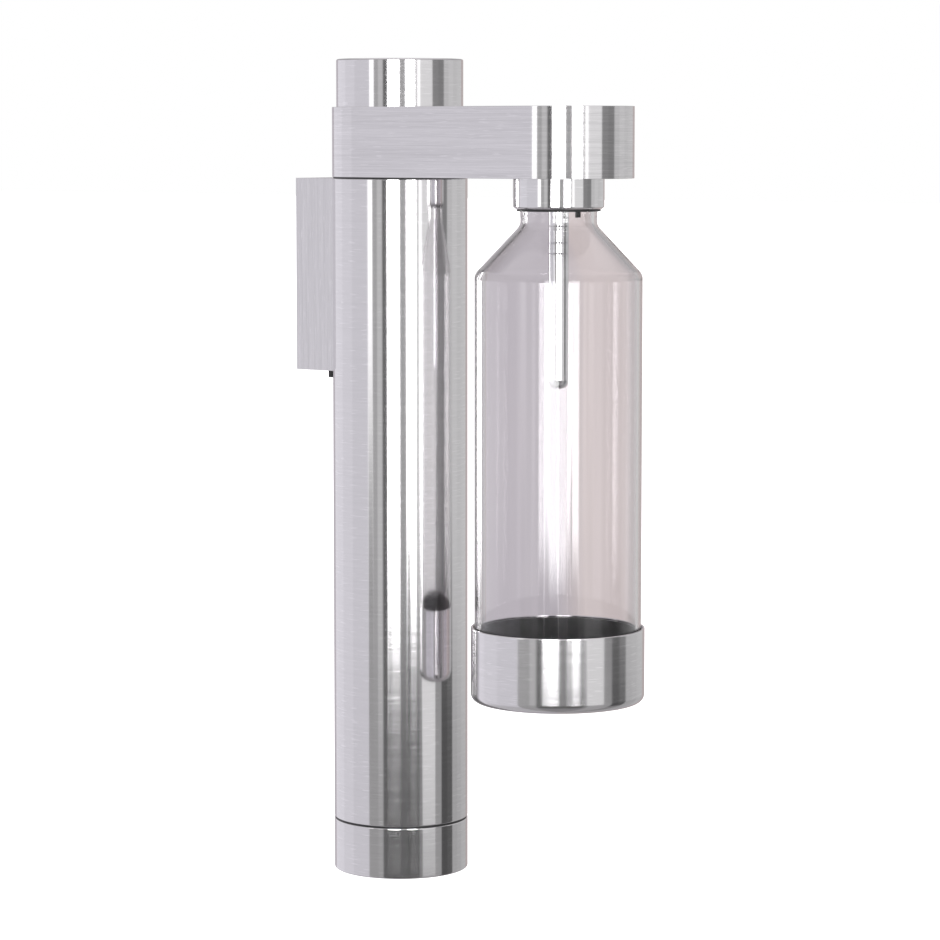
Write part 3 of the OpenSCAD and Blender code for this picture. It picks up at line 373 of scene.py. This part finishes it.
def noise(tree, vector, scale, detail=3.0, rough=0.55):
    """Noise over a vector; returns its value."""
    return add_node(tree, "ShaderNodeTexNoise", Vector=vector, Scale=scale, Detail=detail,
                    Roughness=rough).outputs[0]


def spread(tree, value, low, high):
    """Noise values near the middle, stretched to a range from low to high."""
    return limits(tree, value, NOISE_LOW, NOISE_HIGH, low, high)


def shade(colour, factor):
    """A colour made lighter or darker, with full alpha."""
    return tuple(min(1.0, c * factor) for c in colour) + (1,)


def shaded(tree, value, colour, darker, lighter):
    """A colour that varies with noise between two shades of it."""
    return mixed(tree, spread(tree, value, 0.0, 1.0), shade(colour, darker), shade(colour, lighter))


def bump(tree, height, depth):
    """A bump normal from a height in 0..1, with its depth in metres."""
    return add_node(tree, "ShaderNodeBump", Strength=1.0, Distance=depth, Height=height).outputs[0]


print("finish helpers ready")

# %% [markdown]
# Brushed steel is steel with millions of fine scratches that run one way. Across the
# scratches a reflection smears out, and along them it stays sharp. Cycles does this
# with an anisotropic shader and a tangent, which points across the scratches here. The
# scratches themselves are noise, stretched a few centimetres along the brushing and
# half a millimetre across it. So each way of brushing needs its own coordinates and
# tangent: round a turned piece, level along the arm, or upright on the bracket.

# %% Ways of brushing
BRUSH_ACROSS = 1900.0
BRUSH_ALONG = 30.0
LEVEL_FROM = 0.75
UP = (0.0, 0.0, 1.0)
RADIAL_LEAN = (0.05, 0.05, 0.0)
LEVEL_LEAN = (0.002, 0.0, 1.0)
UPRIGHT_LEAN = (0.0, 0.02, 1.0)


def scratch_vector(tree, across, first, second):
    """Coordinates for scratches, from a value across them and two along them."""
    return add_node(tree, "ShaderNodeCombineXYZ", X=math_node(tree, "MULTIPLY", across, BRUSH_ACROSS),
                    Y=math_node(tree, "MULTIPLY", first, BRUSH_ALONG),
                    Z=math_node(tree, "MULTIPLY", second, BRUSH_ALONG)).outputs[0]


def upright_brushing(tree, x, y, z, facing):
    """Scratches that run up and down, and the tangent across them."""
    vector = scratch_vector(tree, math_node(tree, "ADD", x, y), z, 0.0)
    return vector, vector_node(tree, "CROSS_PRODUCT", i0=facing, i1=UPRIGHT_LEAN)


def level_brushing(tree, x, y, z, facing, flat=None):
    """Level scratches, and the tangent across them.

    They run along Y on flat tops, or round the axis where the flat vector from it is
    given."""
    rise = add_node(tree, "ShaderNodeSeparateXYZ", i0=facing).outputs[2]
    level = math_node(tree, "GREATER_THAN", math_node(tree, "ABSOLUTE", rise), LEVEL_FROM)
    wall = math_node(tree, "SUBTRACT", 1.0, level)
    if flat:
        side = vector_node(tree, "LENGTH", 1, i0=flat)
        lean = vector_node(tree, "MULTIPLY_ADD", i0=flat, i1=RADIAL_LEAN, i2=UP)
    else:
        side = x
        lean = LEVEL_LEAN
    across = math_node(tree, "ADD", math_node(tree, "MULTIPLY", side, level),
                       math_node(tree, "MULTIPLY", z, wall))
    tangent = add_node(tree, "ShaderNodeVectorTransform",
                       {"vector_type": "VECTOR", "convert_from": "OBJECT", "convert_to": "WORLD"}, i0=lean)
    return scratch_vector(tree, across, x, y), tangent.outputs[0]


def brushing_of(tree, way, centre):
    """Scratch coordinates and tangent for a way: around, along or upright."""
    at = vector_node(tree, "SUBTRACT", i0=object_place(tree), i1=(centre.x, centre.y, 0))
    x, y, z = add_node(tree, "ShaderNodeSeparateXYZ", i0=at).outputs
    facing = add_node(tree, "ShaderNodeNewGeometry").outputs["Normal"]
    if way == "upright":
        return upright_brushing(tree, x, y, z, facing)
    if way == "along":
        return level_brushing(tree, x, y, z, facing)
    flat = add_node(tree, "ShaderNodeCombineXYZ", X=x, Y=y, Z=0.0).outputs[0]
    return level_brushing(tree, x, y, z, facing, flat)


print("ways of brushing: around, along, upright")

# %% [markdown]
# The scratches change the colour, the roughness and the height a little, and none of
# them can be told apart. On top come a few short brush marks. They are rougher, and
# their colour is painted lighter, a painted glint where they catch the light. They are
# the peaks of one more noise, so they are rare and differ in length.

# %% Brushed metal
STEEL = (0.80, 0.785, 0.80)
FINE_SHARE = 0.55
FINE_ROUGH = 0.6
WIDE_SCALE = 0.31
MARK_STRETCH = (0.8, 4.0, 4.0)
MARK_PEAKS = (0.68, 0.80)
MARK_ROUGH = 0.015
# Where the marks peak, the colour is painted lighter: a painted glint.
MARK_GLINT_PEAKS = (0.66, 0.76)
MARK_PAINTED_GLINT = 1.08


def brushed_metal(name, way, centre, colour=STEEL, rough=0.105, stretch=0.55, depth=0.0000003,
                  contrast=0.035):
    """Metal brushed one way."""
    tree, shader = new_material(name)
    vector, tangent = brushing_of(tree, way, centre)
    fine = noise(tree, vector, 1.0, 3.0, FINE_ROUGH)
    wide = noise(tree, vector, WIDE_SCALE, 2.0)
    both = math_node(tree, "MULTIPLY_ADD", fine, FINE_SHARE,
                     math_node(tree, "MULTIPLY", wide, 1 - FINE_SHARE))
    marks = noise(tree, vector_node(tree, "MULTIPLY", i0=vector, i1=MARK_STRETCH), 1.0, 0.0)
    # The steel's colour varies at random with the scratches, and at the marks' peaks it is painted lighter as a
    # painted glint.
    tone_and_glint = mixed(tree, limits(tree, marks, *MARK_GLINT_PEAKS),
                 shaded(tree, both, colour, 1 - contrast, 1 + contrast), shade(colour, MARK_PAINTED_GLINT))
    roughness = math_node(tree, "ADD", spread(tree, both, rough * ROUGH_LOW, rough * ROUGH_HIGH),
                          limits(tree, marks, *MARK_PEAKS, 0.0, MARK_ROUGH))
    link_surface(tree, shader, tone_and_glint, roughness, bump(tree, both, depth), tangent)
    shader.inputs["Metallic"].default_value = 1.0
    shader.inputs["Anisotropic"].default_value = stretch


brushed_metal("column_steel", "around", column_axis, rough=0.095, stretch=0.3)
brushed_metal("cup_steel", "around", bottle_axis, rough=0.13, stretch=0.3)
brushed_metal("arm_steel", "along", column_axis, contrast=0.12)
brushed_metal("bracket_steel", "upright", column_axis, rough=0.2, stretch=0.6, contrast=0.09)
brushed_metal("spun_aluminium", "around", column_axis, (0.70, 0.71, 0.73), 0.38, 0.5, 0.000006, 0.04)
print("brushed finishes:", list(FINISH))

# %% [markdown]
# The collar, the gas tube and the valve are turned on a lathe. The tool leaves fine
# rings round the axis, which are the same scratches again, only finer and smoother, so
# the finish is brushed metal with less roughness and more stretch.

# %% Turned metal
TURNED_STRETCH = 0.6


def turned_metal(name, colour, rough, centre, depth=0.000002, contrast=0.03):
    """Metal turned to a fine, nearly mirror-like finish."""
    brushed_metal(name, "around", centre, colour, rough, TURNED_STRETCH, depth, contrast)


turned_metal("collar_steel", (0.82, 0.81, 0.82), 0.1, bottle_axis, 0.0000004)
turned_metal("polished_steel", (0.86, 0.86, 0.87), 0.08, bottle_axis)
turned_metal("spring_steel", (0.66, 0.66, 0.68), 0.2, column_axis)
turned_metal("turned_brass", (0.80, 0.60, 0.28), 0.2, column_axis, 0.000004, 0.06)
print("metal finishes so far:", len(FINISH))

# %% [markdown]
# Cast and tumbled metal has no direction. Its grain is even, fine and a little deeper,
# and large faint clouds keep big faces from looking flat.

# %% Cast metal
CAST_GRAIN = 2600.0
CAST_CLOUD = 60.0
CAST_DEPTH = 0.00002
CAST_ROUGH_HIGH = 1.2
CAST_SHADES = (0.93, 1.04)


def cast_metal(name, colour, rough):
    """Machined or cast metal with a fine grain."""
    tree, shader = new_material(name)
    place = object_place(tree)
    grain = noise(tree, place, CAST_GRAIN)
    cloud = noise(tree, place, CAST_CLOUD, 2.0)
    link_surface(tree, shader, shaded(tree, cloud, colour, *CAST_SHADES),
                 spread(tree, grain, rough * ROUGH_LOW, rough * CAST_ROUGH_HIGH), bump(tree, grain, CAST_DEPTH))
    shader.inputs["Metallic"].default_value = 1.0


cast_metal("screw_steel", (0.60, 0.60, 0.61), 0.3)
cast_metal("cast_aluminium", (0.72, 0.73, 0.74), 0.42)
print("metal finishes:", len(FINISH))

# %% [markdown]
# Rubber, acetal, nylon and silicone are moulded. Each takes a fine grain from its
# mould and is a little cloudy. Rubber also has a faint sheen where it is seen edge on.

# %% Moulded finishes
MOULD_GRAIN = 1800.0
MOULD_CLOUD = 90.0
MOULD_DEPTH = 0.00001
MOULD_SHADES = (0.85, 1.15)


def moulded(name, colour, rough, depth=MOULD_DEPTH, scale=MOULD_GRAIN, sheen=0.0):
    """Moulded plastic or rubber with a fine grain and faint cloudiness."""
    tree, shader = new_material(name)
    place = object_place(tree)
    grain = noise(tree, place, scale)
    cloud = noise(tree, place, MOULD_CLOUD, 2.0)
    link_surface(tree, shader, shaded(tree, cloud, colour, *MOULD_SHADES),
                 spread(tree, grain, rough * ROUGH_LOW, rough * ROUGH_HIGH), bump(tree, grain, depth))
    shader.inputs["Sheen Weight"].default_value = sheen


moulded("lining_rubber", (0.22, 0.222, 0.221), 0.16)
moulded("black_rubber", (0.012, 0.012, 0.013), 0.7, 0.00002, 1500.0, 0.1)
moulded("black_acetal", (0.018, 0.018, 0.019), 0.42)
moulded("grey_acetal", (0.60, 0.60, 0.61), 0.3)
moulded("clear_silicone", (0.72, 0.73, 0.74), 0.35)
moulded("hose_nylon", (0.06, 0.12, 0.30), 0.3)
print("finishes so far:", len(FINISH))

# %% [markdown]
# The bottle's glass is clear, with a real wall. It has a faint tint, and blowing leaves
# it a trace wavy, which shows as slow bends in the strips that it mirrors.

# %% Glass
WAVE_SCALE = 14.0
WAVE_DEPTH = 0.000006
GLASS_INDEX = 1.47
GLASS_TINTS = ((0.965, 0.955, 0.965, 1), (0.985, 0.975, 0.98, 1))


def clear_glass(name):
    """Clear glass with a faint tint and a trace of waviness from its making."""
    tree, shader = new_material(name)
    wave = noise(tree, object_place(tree), WAVE_SCALE, 1.0)
    tint = mixed(tree, spread(tree, wave, 0.0, 1.0), *GLASS_TINTS)
    link_surface(tree, shader, tint, None, bump(tree, wave, WAVE_DEPTH))
    shader.inputs["Roughness"].default_value = 0.0
    shader.inputs["Transmission Weight"].default_value = 1.0
    shader.inputs["IOR"].default_value = GLASS_INDEX


clear_glass("bottle_glass")
print("finishes:", len(FINISH))

# %% [markdown]
# Inner pieces, such as the valve block, the screws and the springs, have the right
# shape in the frame already. They keep it and get the finish of their material, so
# that they look right when the arm swings or the gas cylinder comes out.

# %% Finishes for the frame's own nodes
SLOT_FINISH = {
    "brushed_steel": "column_steel", "satin_underside": "arm_steel", "polished_steel": "polished_steel",
    "screw_steel": "screw_steel", "spring_steel": "spring_steel", "cast_aluminium": "cast_aluminium",
    "cylinder_aluminium": "spun_aluminium", "brass": "turned_brass", "black_rubber": "black_rubber",
    "black_plastic": "black_acetal", "seal_silicone": "clear_silicone", "hose_nylon": "hose_nylon",
    "clear_glass": "bottle_glass",
}


def paint(obj, finish):
    """Gives an object one finish."""
    obj.data.materials.clear()
    obj.data.materials.append(FINISH[finish])
    for face in obj.data.polygons:
        face.material_index = 0


for node_name, node in NODES.items():
    paint(node, SLOT_FINISH[SLOT_OF[node_name]])
print("painted nodes:", len(NODES))

# %% [markdown]
# A new piece takes its node's place. It gets the node's body, so that it moves with
# it. Faces that meet at a low angle are shaded as one surface.

# %% Finishing a piece
SMOOTH_ANGLE = math.radians(38)
MERGE = 1e-6
RIM_STEPS = 3


def finish_piece(bm, name, node, finish):
    """Makes an object from a bmesh, in a node's place, with its finish and body."""
    mesh = bpy.data.meshes.new(name)
    bm.to_mesh(mesh)
    bm.free()
    piece = bpy.data.objects.new(name, mesh)
    bpy.context.scene.collection.objects.link(piece)
    mesh.materials.append(FINISH[finish])
    for face in mesh.polygons:
        face.use_smooth = True
    mesh.set_sharp_from_angle(angle=SMOOTH_ANGLE)
    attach(piece, BODY_OF[node])
    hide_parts(node)
    print(f"{name}: {len(mesh.polygons)} faces for {node}")
    return piece


def soften_edges(piece, width):
    """Adds a Bevel modifier that breaks the sharp edges of a piece."""
    soft = piece.modifiers.new("edges", "BEVEL")
    soft.width = width
    soft.segments = RIM_STEPS
    soft.limit_method = "ANGLE"
    soft.angle_limit = SMOOTH_ANGLE
    soft.harden_normals = True


print("pieces take the place of their nodes")

# %% [markdown]
# Most of this machine is turned metal or pressed tube, so most pieces start as a
# profile that is spun round an axis, as a lathe or a spinning tool makes them. A
# profile is a few points; a rounded corner is a vertex bevel on the profile. Sharp
# rims get a small bevel after the spin, because a real edge is never quite sharp and
# its thin highlight shows what the piece is made of.

# %% Turned pieces
SPIN_STEPS = 160
CORNER_STEPS = 10
RIM_EDGE = 0.0003
HOLD = 0.0006
LONG_HOLDS = 5


def profile_wire(bm, points, closed):
    """Edges through (radius, height, corner radius) points, with rounded corners."""
    verts = [bm.verts.new((r, 0, z)) for r, z, _ in points]
    pairs = list(zip(verts, verts[1:])) + ([(verts[-1], verts[0])] if closed else [])
    for a, b in pairs:
        bm.edges.new((a, b))
    for i, (r, z, corner) in enumerate(points):
        if corner <= 0:
            continue
        here = Vector((r, z))
        before = Vector(points[i - 1][:2]) - here
        after = Vector(points[(i + 1) % len(points)][:2]) - here
        turn = math.pi - before.angle(after)
        bmesh.ops.bevel(bm, geom=[verts[i]], offset=corner * math.tan(turn / 2), offset_type="OFFSET",
                        segments=CORNER_STEPS, profile=0.5, affect="VERTICES", material=-1)


def hold_ends(bm):
    """Splits long profile edges near both ends, so that smooth shading stays there."""
    for edge in bm.edges[:]:
        length = edge.calc_length()
        if length < LONG_HOLDS * HOLD:
            continue
        start, stop = (v.co.copy() for v in edge.verts)
        cuts = bmesh.ops.subdivide_edges(bm, edges=[edge], cuts=2)["geom_inner"]
        inner = sorted((g for g in cuts if isinstance(g, bmesh.types.BMVert)),
                       key=lambda v: (v.co - start).length)
        inner[0].co = start.lerp(stop, HOLD / length)
        inner[1].co = stop.lerp(start, HOLD / length)


def turned(name, node, points, axis, finish, closed=True, edge=RIM_EDGE, steps=SPIN_STEPS):
    """A piece spun from a profile about a vertical axis."""
    bm = bmesh.new()
    profile_wire(bm, points, closed)
    hold_ends(bm)
    bmesh.ops.translate(bm, vec=(axis.x, axis.y, 0), verts=bm.verts)
    bmesh.ops.spin(bm, geom=bm.verts[:] + bm.edges[:], cent=(axis.x, axis.y, 0), axis=(0, 0, 1),
                   dvec=(0, 0, 0), angle=math.tau, steps=steps, use_merge=True, use_duplicate=False)
    bmesh.ops.remove_doubles(bm, verts=bm.verts, dist=MERGE)
    bmesh.ops.recalc_face_normals(bm, faces=bm.faces)
    if edge:
        sharp = [e for e in bm.edges if e.is_manifold and e.calc_face_angle() > SMOOTH_ANGLE]
        bmesh.ops.bevel(bm, geom=sharp, offset=edge, offset_type="OFFSET", segments=RIM_STEPS,
                        profile=0.5, affect="EDGES", material=-1, clamp_overlap=True)
    return finish_piece(bm, name, node, finish)


print("spin steps:", SPIN_STEPS)

# %% [markdown]
# The column is a length of brushed tube, cut square. Spinning its cross-section gives
# a true round that reflects without facets. Its rims are bevelled by a third of a
# millimetre, which the photograph shows as fine lines at the seams.

# %% Column
TUBE_WALL = 0.0015
low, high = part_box("column_tube")
column_r = (high.x - low.x) / 2
turned("column", "column_tube", [
    (column_r, low.z, 0), (column_r, high.z, 0),
    (column_r - TUBE_WALL, high.z, 0), (column_r - TUBE_WALL, low.z, 0),
], column_axis, "column_steel")

# %% [markdown]
# The press cap is a shallow drawn cup, open below, with a soft top edge. The base cap
# under the column is the same kind of piece, the other way up. One profile serves
# both: it runs from the middle of the closed face over the corner to the open rim and
# back inside.

# %% Press cap and base cap
CAP_EDGE = 0.0009
BASE_EDGE = 0.0008


def drawn_cap(name, node, face, rim, inward, corner):
    """A shallow cap, closed at the height of its face and open at its rim."""
    low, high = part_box(node)
    radius = (high.x - low.x) / 2
    inside = face + inward * TUBE_WALL
    turned(name, node, [
        (0, face, 0), (radius, face, corner), (radius, rim, 0), (radius - TUBE_WALL, rim, 0),
        (radius - TUBE_WALL, inside, 0), (0, inside, 0),
    ], column_axis, "column_steel", closed=False)
    return radius


low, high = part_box("press_cap")
cap_r = drawn_cap("press_cap_shell", "press_cap", high.z, low.z, -1, CAP_EDGE)
low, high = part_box("base_cap")
drawn_cap("base_cap_shell", "base_cap", low.z, high.z, 1, BASE_EDGE)

# %% [markdown]
# The arm's shell is a deep pressing with two round ends. Its outline is drawn by
# spinning a vertex half a turn about each end, so that the round ends are as smooth as
# the column. The top plate is filled between that outline and the round hole for the
# cap, the walls are extruded down, and a Solidify modifier gives the sheet its
# thickness. A Bevel modifier then breaks the edges.

# %% Arm shell
ARM_EDGE = 0.0005
HOLE_GAP = 0.0003
END_STEPS = 96
HOLE_STEPS = 144


def half_round(bm, start, centre):
    """Spins one vertex half a turn about a centre; returns its vertices in order."""
    first = bm.verts.new(start)
    before = set(bm.verts)
    bmesh.ops.spin(bm, geom=[first], cent=centre, axis=(0, 0, 1), dvec=(0, 0, 0), angle=math.pi,
                   steps=END_STEPS, use_merge=False, use_duplicate=False)
    return [first] + [v for v in bm.verts if v not in before]


def arm_outline(bm, near, far, radius):
    """The arm's outline from above: two half rounds joined by straight sides."""
    back = half_round(bm, near + Vector((radius, 0, 0)), near)
    front = half_round(bm, far + Vector((-radius, 0, 0)), far)
    bm.edges.new((back[-1], front[0]))
    bm.edges.new((front[-1], back[0]))
    return bm.edges[:]


def build_arm_shell():
    """The arm's shell, open below."""
    low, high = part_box("arm_shell")
    radius = (high.x - low.x) / 2
    near = Vector((column_axis.x, column_axis.y, high.z))
    far = Vector((column_axis.x, low.y + radius, high.z))
    bm = bmesh.new()
    rim = arm_outline(bm, near, far, radius)
    ring = bmesh.ops.create_circle(bm, cap_ends=False, segments=HOLE_STEPS,
                                   radius=cap_r + HOLE_GAP)["verts"]
    bmesh.ops.translate(bm, vec=near, verts=ring)
    bmesh.ops.triangle_fill(bm, use_beauty=True, use_dissolve=True, edges=bm.edges[:], normal=(0, 0, 1))
    walls = bmesh.ops.extrude_edge_only(bm, edges=rim)["geom"]
    bmesh.ops.translate(bm, vec=(0, 0, low.z - high.z),
                        verts=[g for g in walls if isinstance(g, bmesh.types.BMVert)])
    bmesh.ops.recalc_face_normals(bm, faces=bm.faces)
    top = max(bm.faces, key=lambda f: f.calc_center_median().z)
    if top.normal.z < 0:
        bmesh.ops.reverse_faces(bm, faces=bm.faces)
    piece = finish_piece(bm, "arm_shell_pressing", "arm_shell", "arm_steel")
    sheet = piece.modifiers.new("sheet", "SOLIDIFY")
    sheet.thickness = TUBE_WALL
    sheet.offset = -1
    sheet.use_even_offset = True
    soften_edges(piece, ARM_EDGE)


build_arm_shell()

# %% [markdown]
# The collar under the arm is bar stock turned to a mirror-like finish. It is chamfered
# below, and a lip inside it traps the bush that the bottle locks into. A black ring in
# its mouth is painted shade: it draws the shadow gap as the dark line above the neck.

# %% Collar
COLLAR_WALL = 0.0012
COLLAR_LIP_H = 0.0025
COLLAR_LIP_R = 0.01975
COLLAR_CHAMFER = 0.0021
COLLAR_EDGE = 0.00015
# The black ring's sizes: the ring is painted shade, a dark piece where the gap between collar and neck is
# shaded.
SHADE_RING_R = 0.0213
SHADE_RING_H = 0.0009
SHADE_RING_GAP = 0.0003
SHADE_RING_EDGE = 0.0001
low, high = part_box("collar")
collar_low = low.z
collar_r = (high.x - low.x) / 2
shade_ring_top = collar_low + SHADE_RING_H
lip_top = collar_low + COLLAR_LIP_H
turned("collar_turned", "collar", [
    (COLLAR_LIP_R, shade_ring_top, 0), (SHADE_RING_R, shade_ring_top, 0),
    (collar_r, collar_low + COLLAR_CHAMFER, 0), (collar_r, high.z, 0),
    (collar_r - COLLAR_WALL, high.z, 0), (collar_r - COLLAR_WALL, lip_top, 0),
    (COLLAR_LIP_R, lip_top, 0),
], bottle_axis, "collar_steel", edge=COLLAR_EDGE)
# The black ring is painted shade in the gap between the collar and the bottle's neck.
turned("collar_shade_ring", "collar", [
    (COLLAR_LIP_R, collar_low, 0), (SHADE_RING_R - SHADE_RING_GAP, collar_low, 0),
    (SHADE_RING_R - SHADE_RING_GAP, shade_ring_top, 0), (COLLAR_LIP_R, shade_ring_top, 0),
], bottle_axis, "black_acetal", edge=SHADE_RING_EDGE)

# %% [markdown]
# The bottle is blown glass: a short neck with a ring, a straight cone for a shoulder
# and a plain body. Glass bends light at both of its surfaces, so the wall is a real
# one, with an inside and an outside, and each blend is a fine arc. The foot is pushed
# up a little in the middle, so that the bottle stands on a ring.

# %% Bottle glass
GLASS_WALL = 0.0026
SHOULDER = math.radians(43.2)
CONE_DROP = 0.0315
CONE_ROUND = 0.005
INNER_ROUND = 0.0076
BEAD_R = 0.0193
BEAD_BELOW = 0.0033
BEAD_ABOVE = 0.0019
BEAD_SLOPE = 0.0012
BEAD_ROUND = 0.0011
BEAD_TOP_ROUND = 0.0005
WAIST_R = 0.0192
NECK_R = 0.0182
NECK_STEP = 0.0006
NECK_STEP_ROUND = 0.0003
LIP_ROUND = 0.0006
BORE_R = 0.0165
PUSH_UP = 0.0024
PUSH_UP_R = 0.012
PUSH_UP_ROUND = 0.004
STAND_R = 0.024
STAND_ROUND = 0.003
FOOT_ROUND = 0.009
FOOT_INNER_ROUND = 0.0064
FLOOR_H = 0.005
low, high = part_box("bottle_glass")
glass_r = (high.x - low.x) / 2
inner_r = glass_r - GLASS_WALL
bead_low = collar_low - BEAD_BELOW
bead_high = collar_low + BEAD_ABOVE
cone_end = collar_low - CONE_DROP
cone_start = cone_end + (glass_r - WAIST_R) / math.tan(SHOULDER)
inner_end = cone_end - GLASS_WALL * math.tan(SHOULDER / 2)
inner_start = inner_end + (inner_r - BORE_R) / math.tan(SHOULDER)
turned("bottle_blown", "bottle_glass", [
    (0, low.z + PUSH_UP, 0), (PUSH_UP_R, low.z + PUSH_UP, PUSH_UP_ROUND),
    (STAND_R, low.z, STAND_ROUND), (glass_r, low.z, FOOT_ROUND),
    (glass_r, cone_end, CONE_ROUND), (WAIST_R, cone_start, CONE_ROUND),
    (WAIST_R, bead_low, BEAD_SLOPE), (BEAD_R, bead_low + BEAD_SLOPE, BEAD_ROUND),
    (BEAD_R, bead_high, BEAD_TOP_ROUND), (NECK_R, bead_high + NECK_STEP, NECK_STEP_ROUND),
    (NECK_R, high.z, LIP_ROUND), (BORE_R, high.z, LIP_ROUND), (BORE_R, inner_start, INNER_ROUND),
    (inner_r, inner_end, CONE_ROUND), (inner_r, low.z + FLOOR_H, FOOT_INNER_ROUND),
    (0, low.z + FLOOR_H, 0),
], bottle_axis, "bottle_glass", closed=False, edge=0)

# %% [markdown]
# A drawn steel cup holds the foot of the bottle. Its outer corner is well rounded, and
# its rim is thin and bright.

# %% Bottle cup
CUP_WALL = 0.0011
CUP_ROUND = 0.0042
CUP_RIM_EDGE = 0.00025
low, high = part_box("bottle_cup")
cup_r = (high.x - low.x) / 2
turned("bottle_cup_drawn", "bottle_cup", [
    (0, low.z, 0), (cup_r, low.z, CUP_ROUND), (cup_r, high.z, 0), (cup_r - CUP_WALL, high.z, 0),
    (cup_r - CUP_WALL, low.z + CUP_WALL, CUP_ROUND - CUP_WALL), (0, low.z + CUP_WALL, 0),
], bottle_axis, "cup_steel", closed=False, edge=CUP_RIM_EDGE)

# %% [markdown]
# Between the glass and the steel there is a thin rubber sleeve. It is what makes the
# inside of the cup look dark through the glass.

# %% Cup lining
LINING_GAP = 0.00005
LINING_EDGE = 0.00015
low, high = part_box("cup_lining")
lining_r = (high.x - low.x) / 2
turned("cup_lining_moulding", "cup_lining", [
    (glass_r + LINING_GAP, low.z, 0), (lining_r, low.z, 0), (lining_r, high.z, 0),
    (glass_r + LINING_GAP, high.z, 0),
], bottle_axis, "lining_rubber", edge=LINING_EDGE)

# %% [markdown]
# The gas tube hangs inside the bottle: a polished tube with a round tip, a tiny hole
# for the gas and two fine rings near its joint. The rings are small steps in the
# profile, so that they catch the light as the real ones do.

# %% Gas tube
TUBE_STEPS = 72
TUBE_BORE = 0.0039
TUBE_EDGE = 0.0001
JET_R = 0.0007
RING_DROPS = (0.0138, 0.0085)
RING_DEPTH = 0.00022
RING_H = 0.0005
low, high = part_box("carbonation_tube")
tube_r = (high.x - low.x) / 2
joint_high = high.z
rings = [(tube_r - depth, high.z - drop + up, 0) for drop in RING_DROPS
         for depth, up in ((0, 0), (RING_DEPTH, 0), (RING_DEPTH, RING_H), (0, RING_H))]
turned("gas_tube_drawn", "carbonation_tube", [
    (JET_R, low.z, 0), (tube_r, low.z, tube_r - JET_R), *rings, (tube_r, high.z, 0),
    (TUBE_BORE, high.z, 0), (TUBE_BORE, low.z + tube_r, 0), (JET_R, low.z + tube_r, 0),
], bottle_axis, "polished_steel", edge=TUBE_EDGE, steps=TUBE_STEPS)

# %% [markdown]
# The stem carries the tube. It comes down out of the head, as thick as the tube where
# it shows, and thinner where it plugs into the tube and into the head.

# %% Stem
STEM_BORE = 0.0016
STEM_FACE = 0.0155
STEM_GAP = 0.0001
STEM_EDGE = 0.00012
low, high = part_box("nozzle_stem")
stem_face = collar_low + STEM_FACE
turned("stem_turned", "nozzle_stem", [
    (STEM_BORE, low.z, 0), (TUBE_BORE, low.z, 0), (TUBE_BORE, joint_high + STEM_GAP, 0),
    (tube_r, joint_high + STEM_GAP, 0), (tube_r, stem_face, 0), (TUBE_BORE, stem_face, 0),
    (TUBE_BORE, high.z, 0), (STEM_BORE, high.z, 0),
], bottle_axis, "polished_steel", edge=STEM_EDGE, steps=TUBE_STEPS)

# %% [markdown]
# Pieces with flat sides or slots, such as the bracket's cover and the rubber pad, are
# copied from the frame. The copy's loose triangles are merged and its flat faces
# joined again, so that a Bevel modifier can soften its edges cleanly.

# %% Dressed copies
FLAT_ANGLE = math.radians(0.5)
# Name of the copy, its node, its finish and the width of its softened edges
COPIES = [
    ("bracket_pressing", "bracket_cover", "bracket_steel", 0.0004),
    ("pad_moulding", "saddle_pad", "black_rubber", 0.0003),
    ("underside_plate", "arm_underside", "arm_steel", 0.0002),
    ("bush_moulding", "swivel_bush", "black_acetal", 0.0001),
    ("lock_ring_moulding", "lock_ring", "black_acetal", 0.0001),
    ("vent_nipple_moulding", "vent_nipple", "black_rubber", 0.0002),
    ("bayonet_moulding", "bayonet_bush", "grey_acetal", 0.0002),
    ("base_lining", "base_insert", "black_acetal", 0.0002),
    ("valve_turned", "cylinder_valve", "turned_brass", 0.0003),
]


def dressed_copy(name, node, finish, edge):
    """A merged copy of a node with softened edges."""
    bm = bmesh.new()
    bm.from_mesh(NODES[node].data)
    bmesh.ops.remove_doubles(bm, verts=bm.verts, dist=MERGE)
    bmesh.ops.dissolve_limit(bm, angle_limit=FLAT_ANGLE, use_dissolve_boundaries=False,
                             verts=bm.verts, edges=bm.edges, delimit=set())
    soften_edges(finish_piece(bm, name, node, finish), edge)


for copy in COPIES:
    dressed_copy(*copy)
print("dressed copies:", len(COPIES))

# %% Size of the frame, and the end
print("size cad", [round(v, 4) for v in cad_high - cad_low])
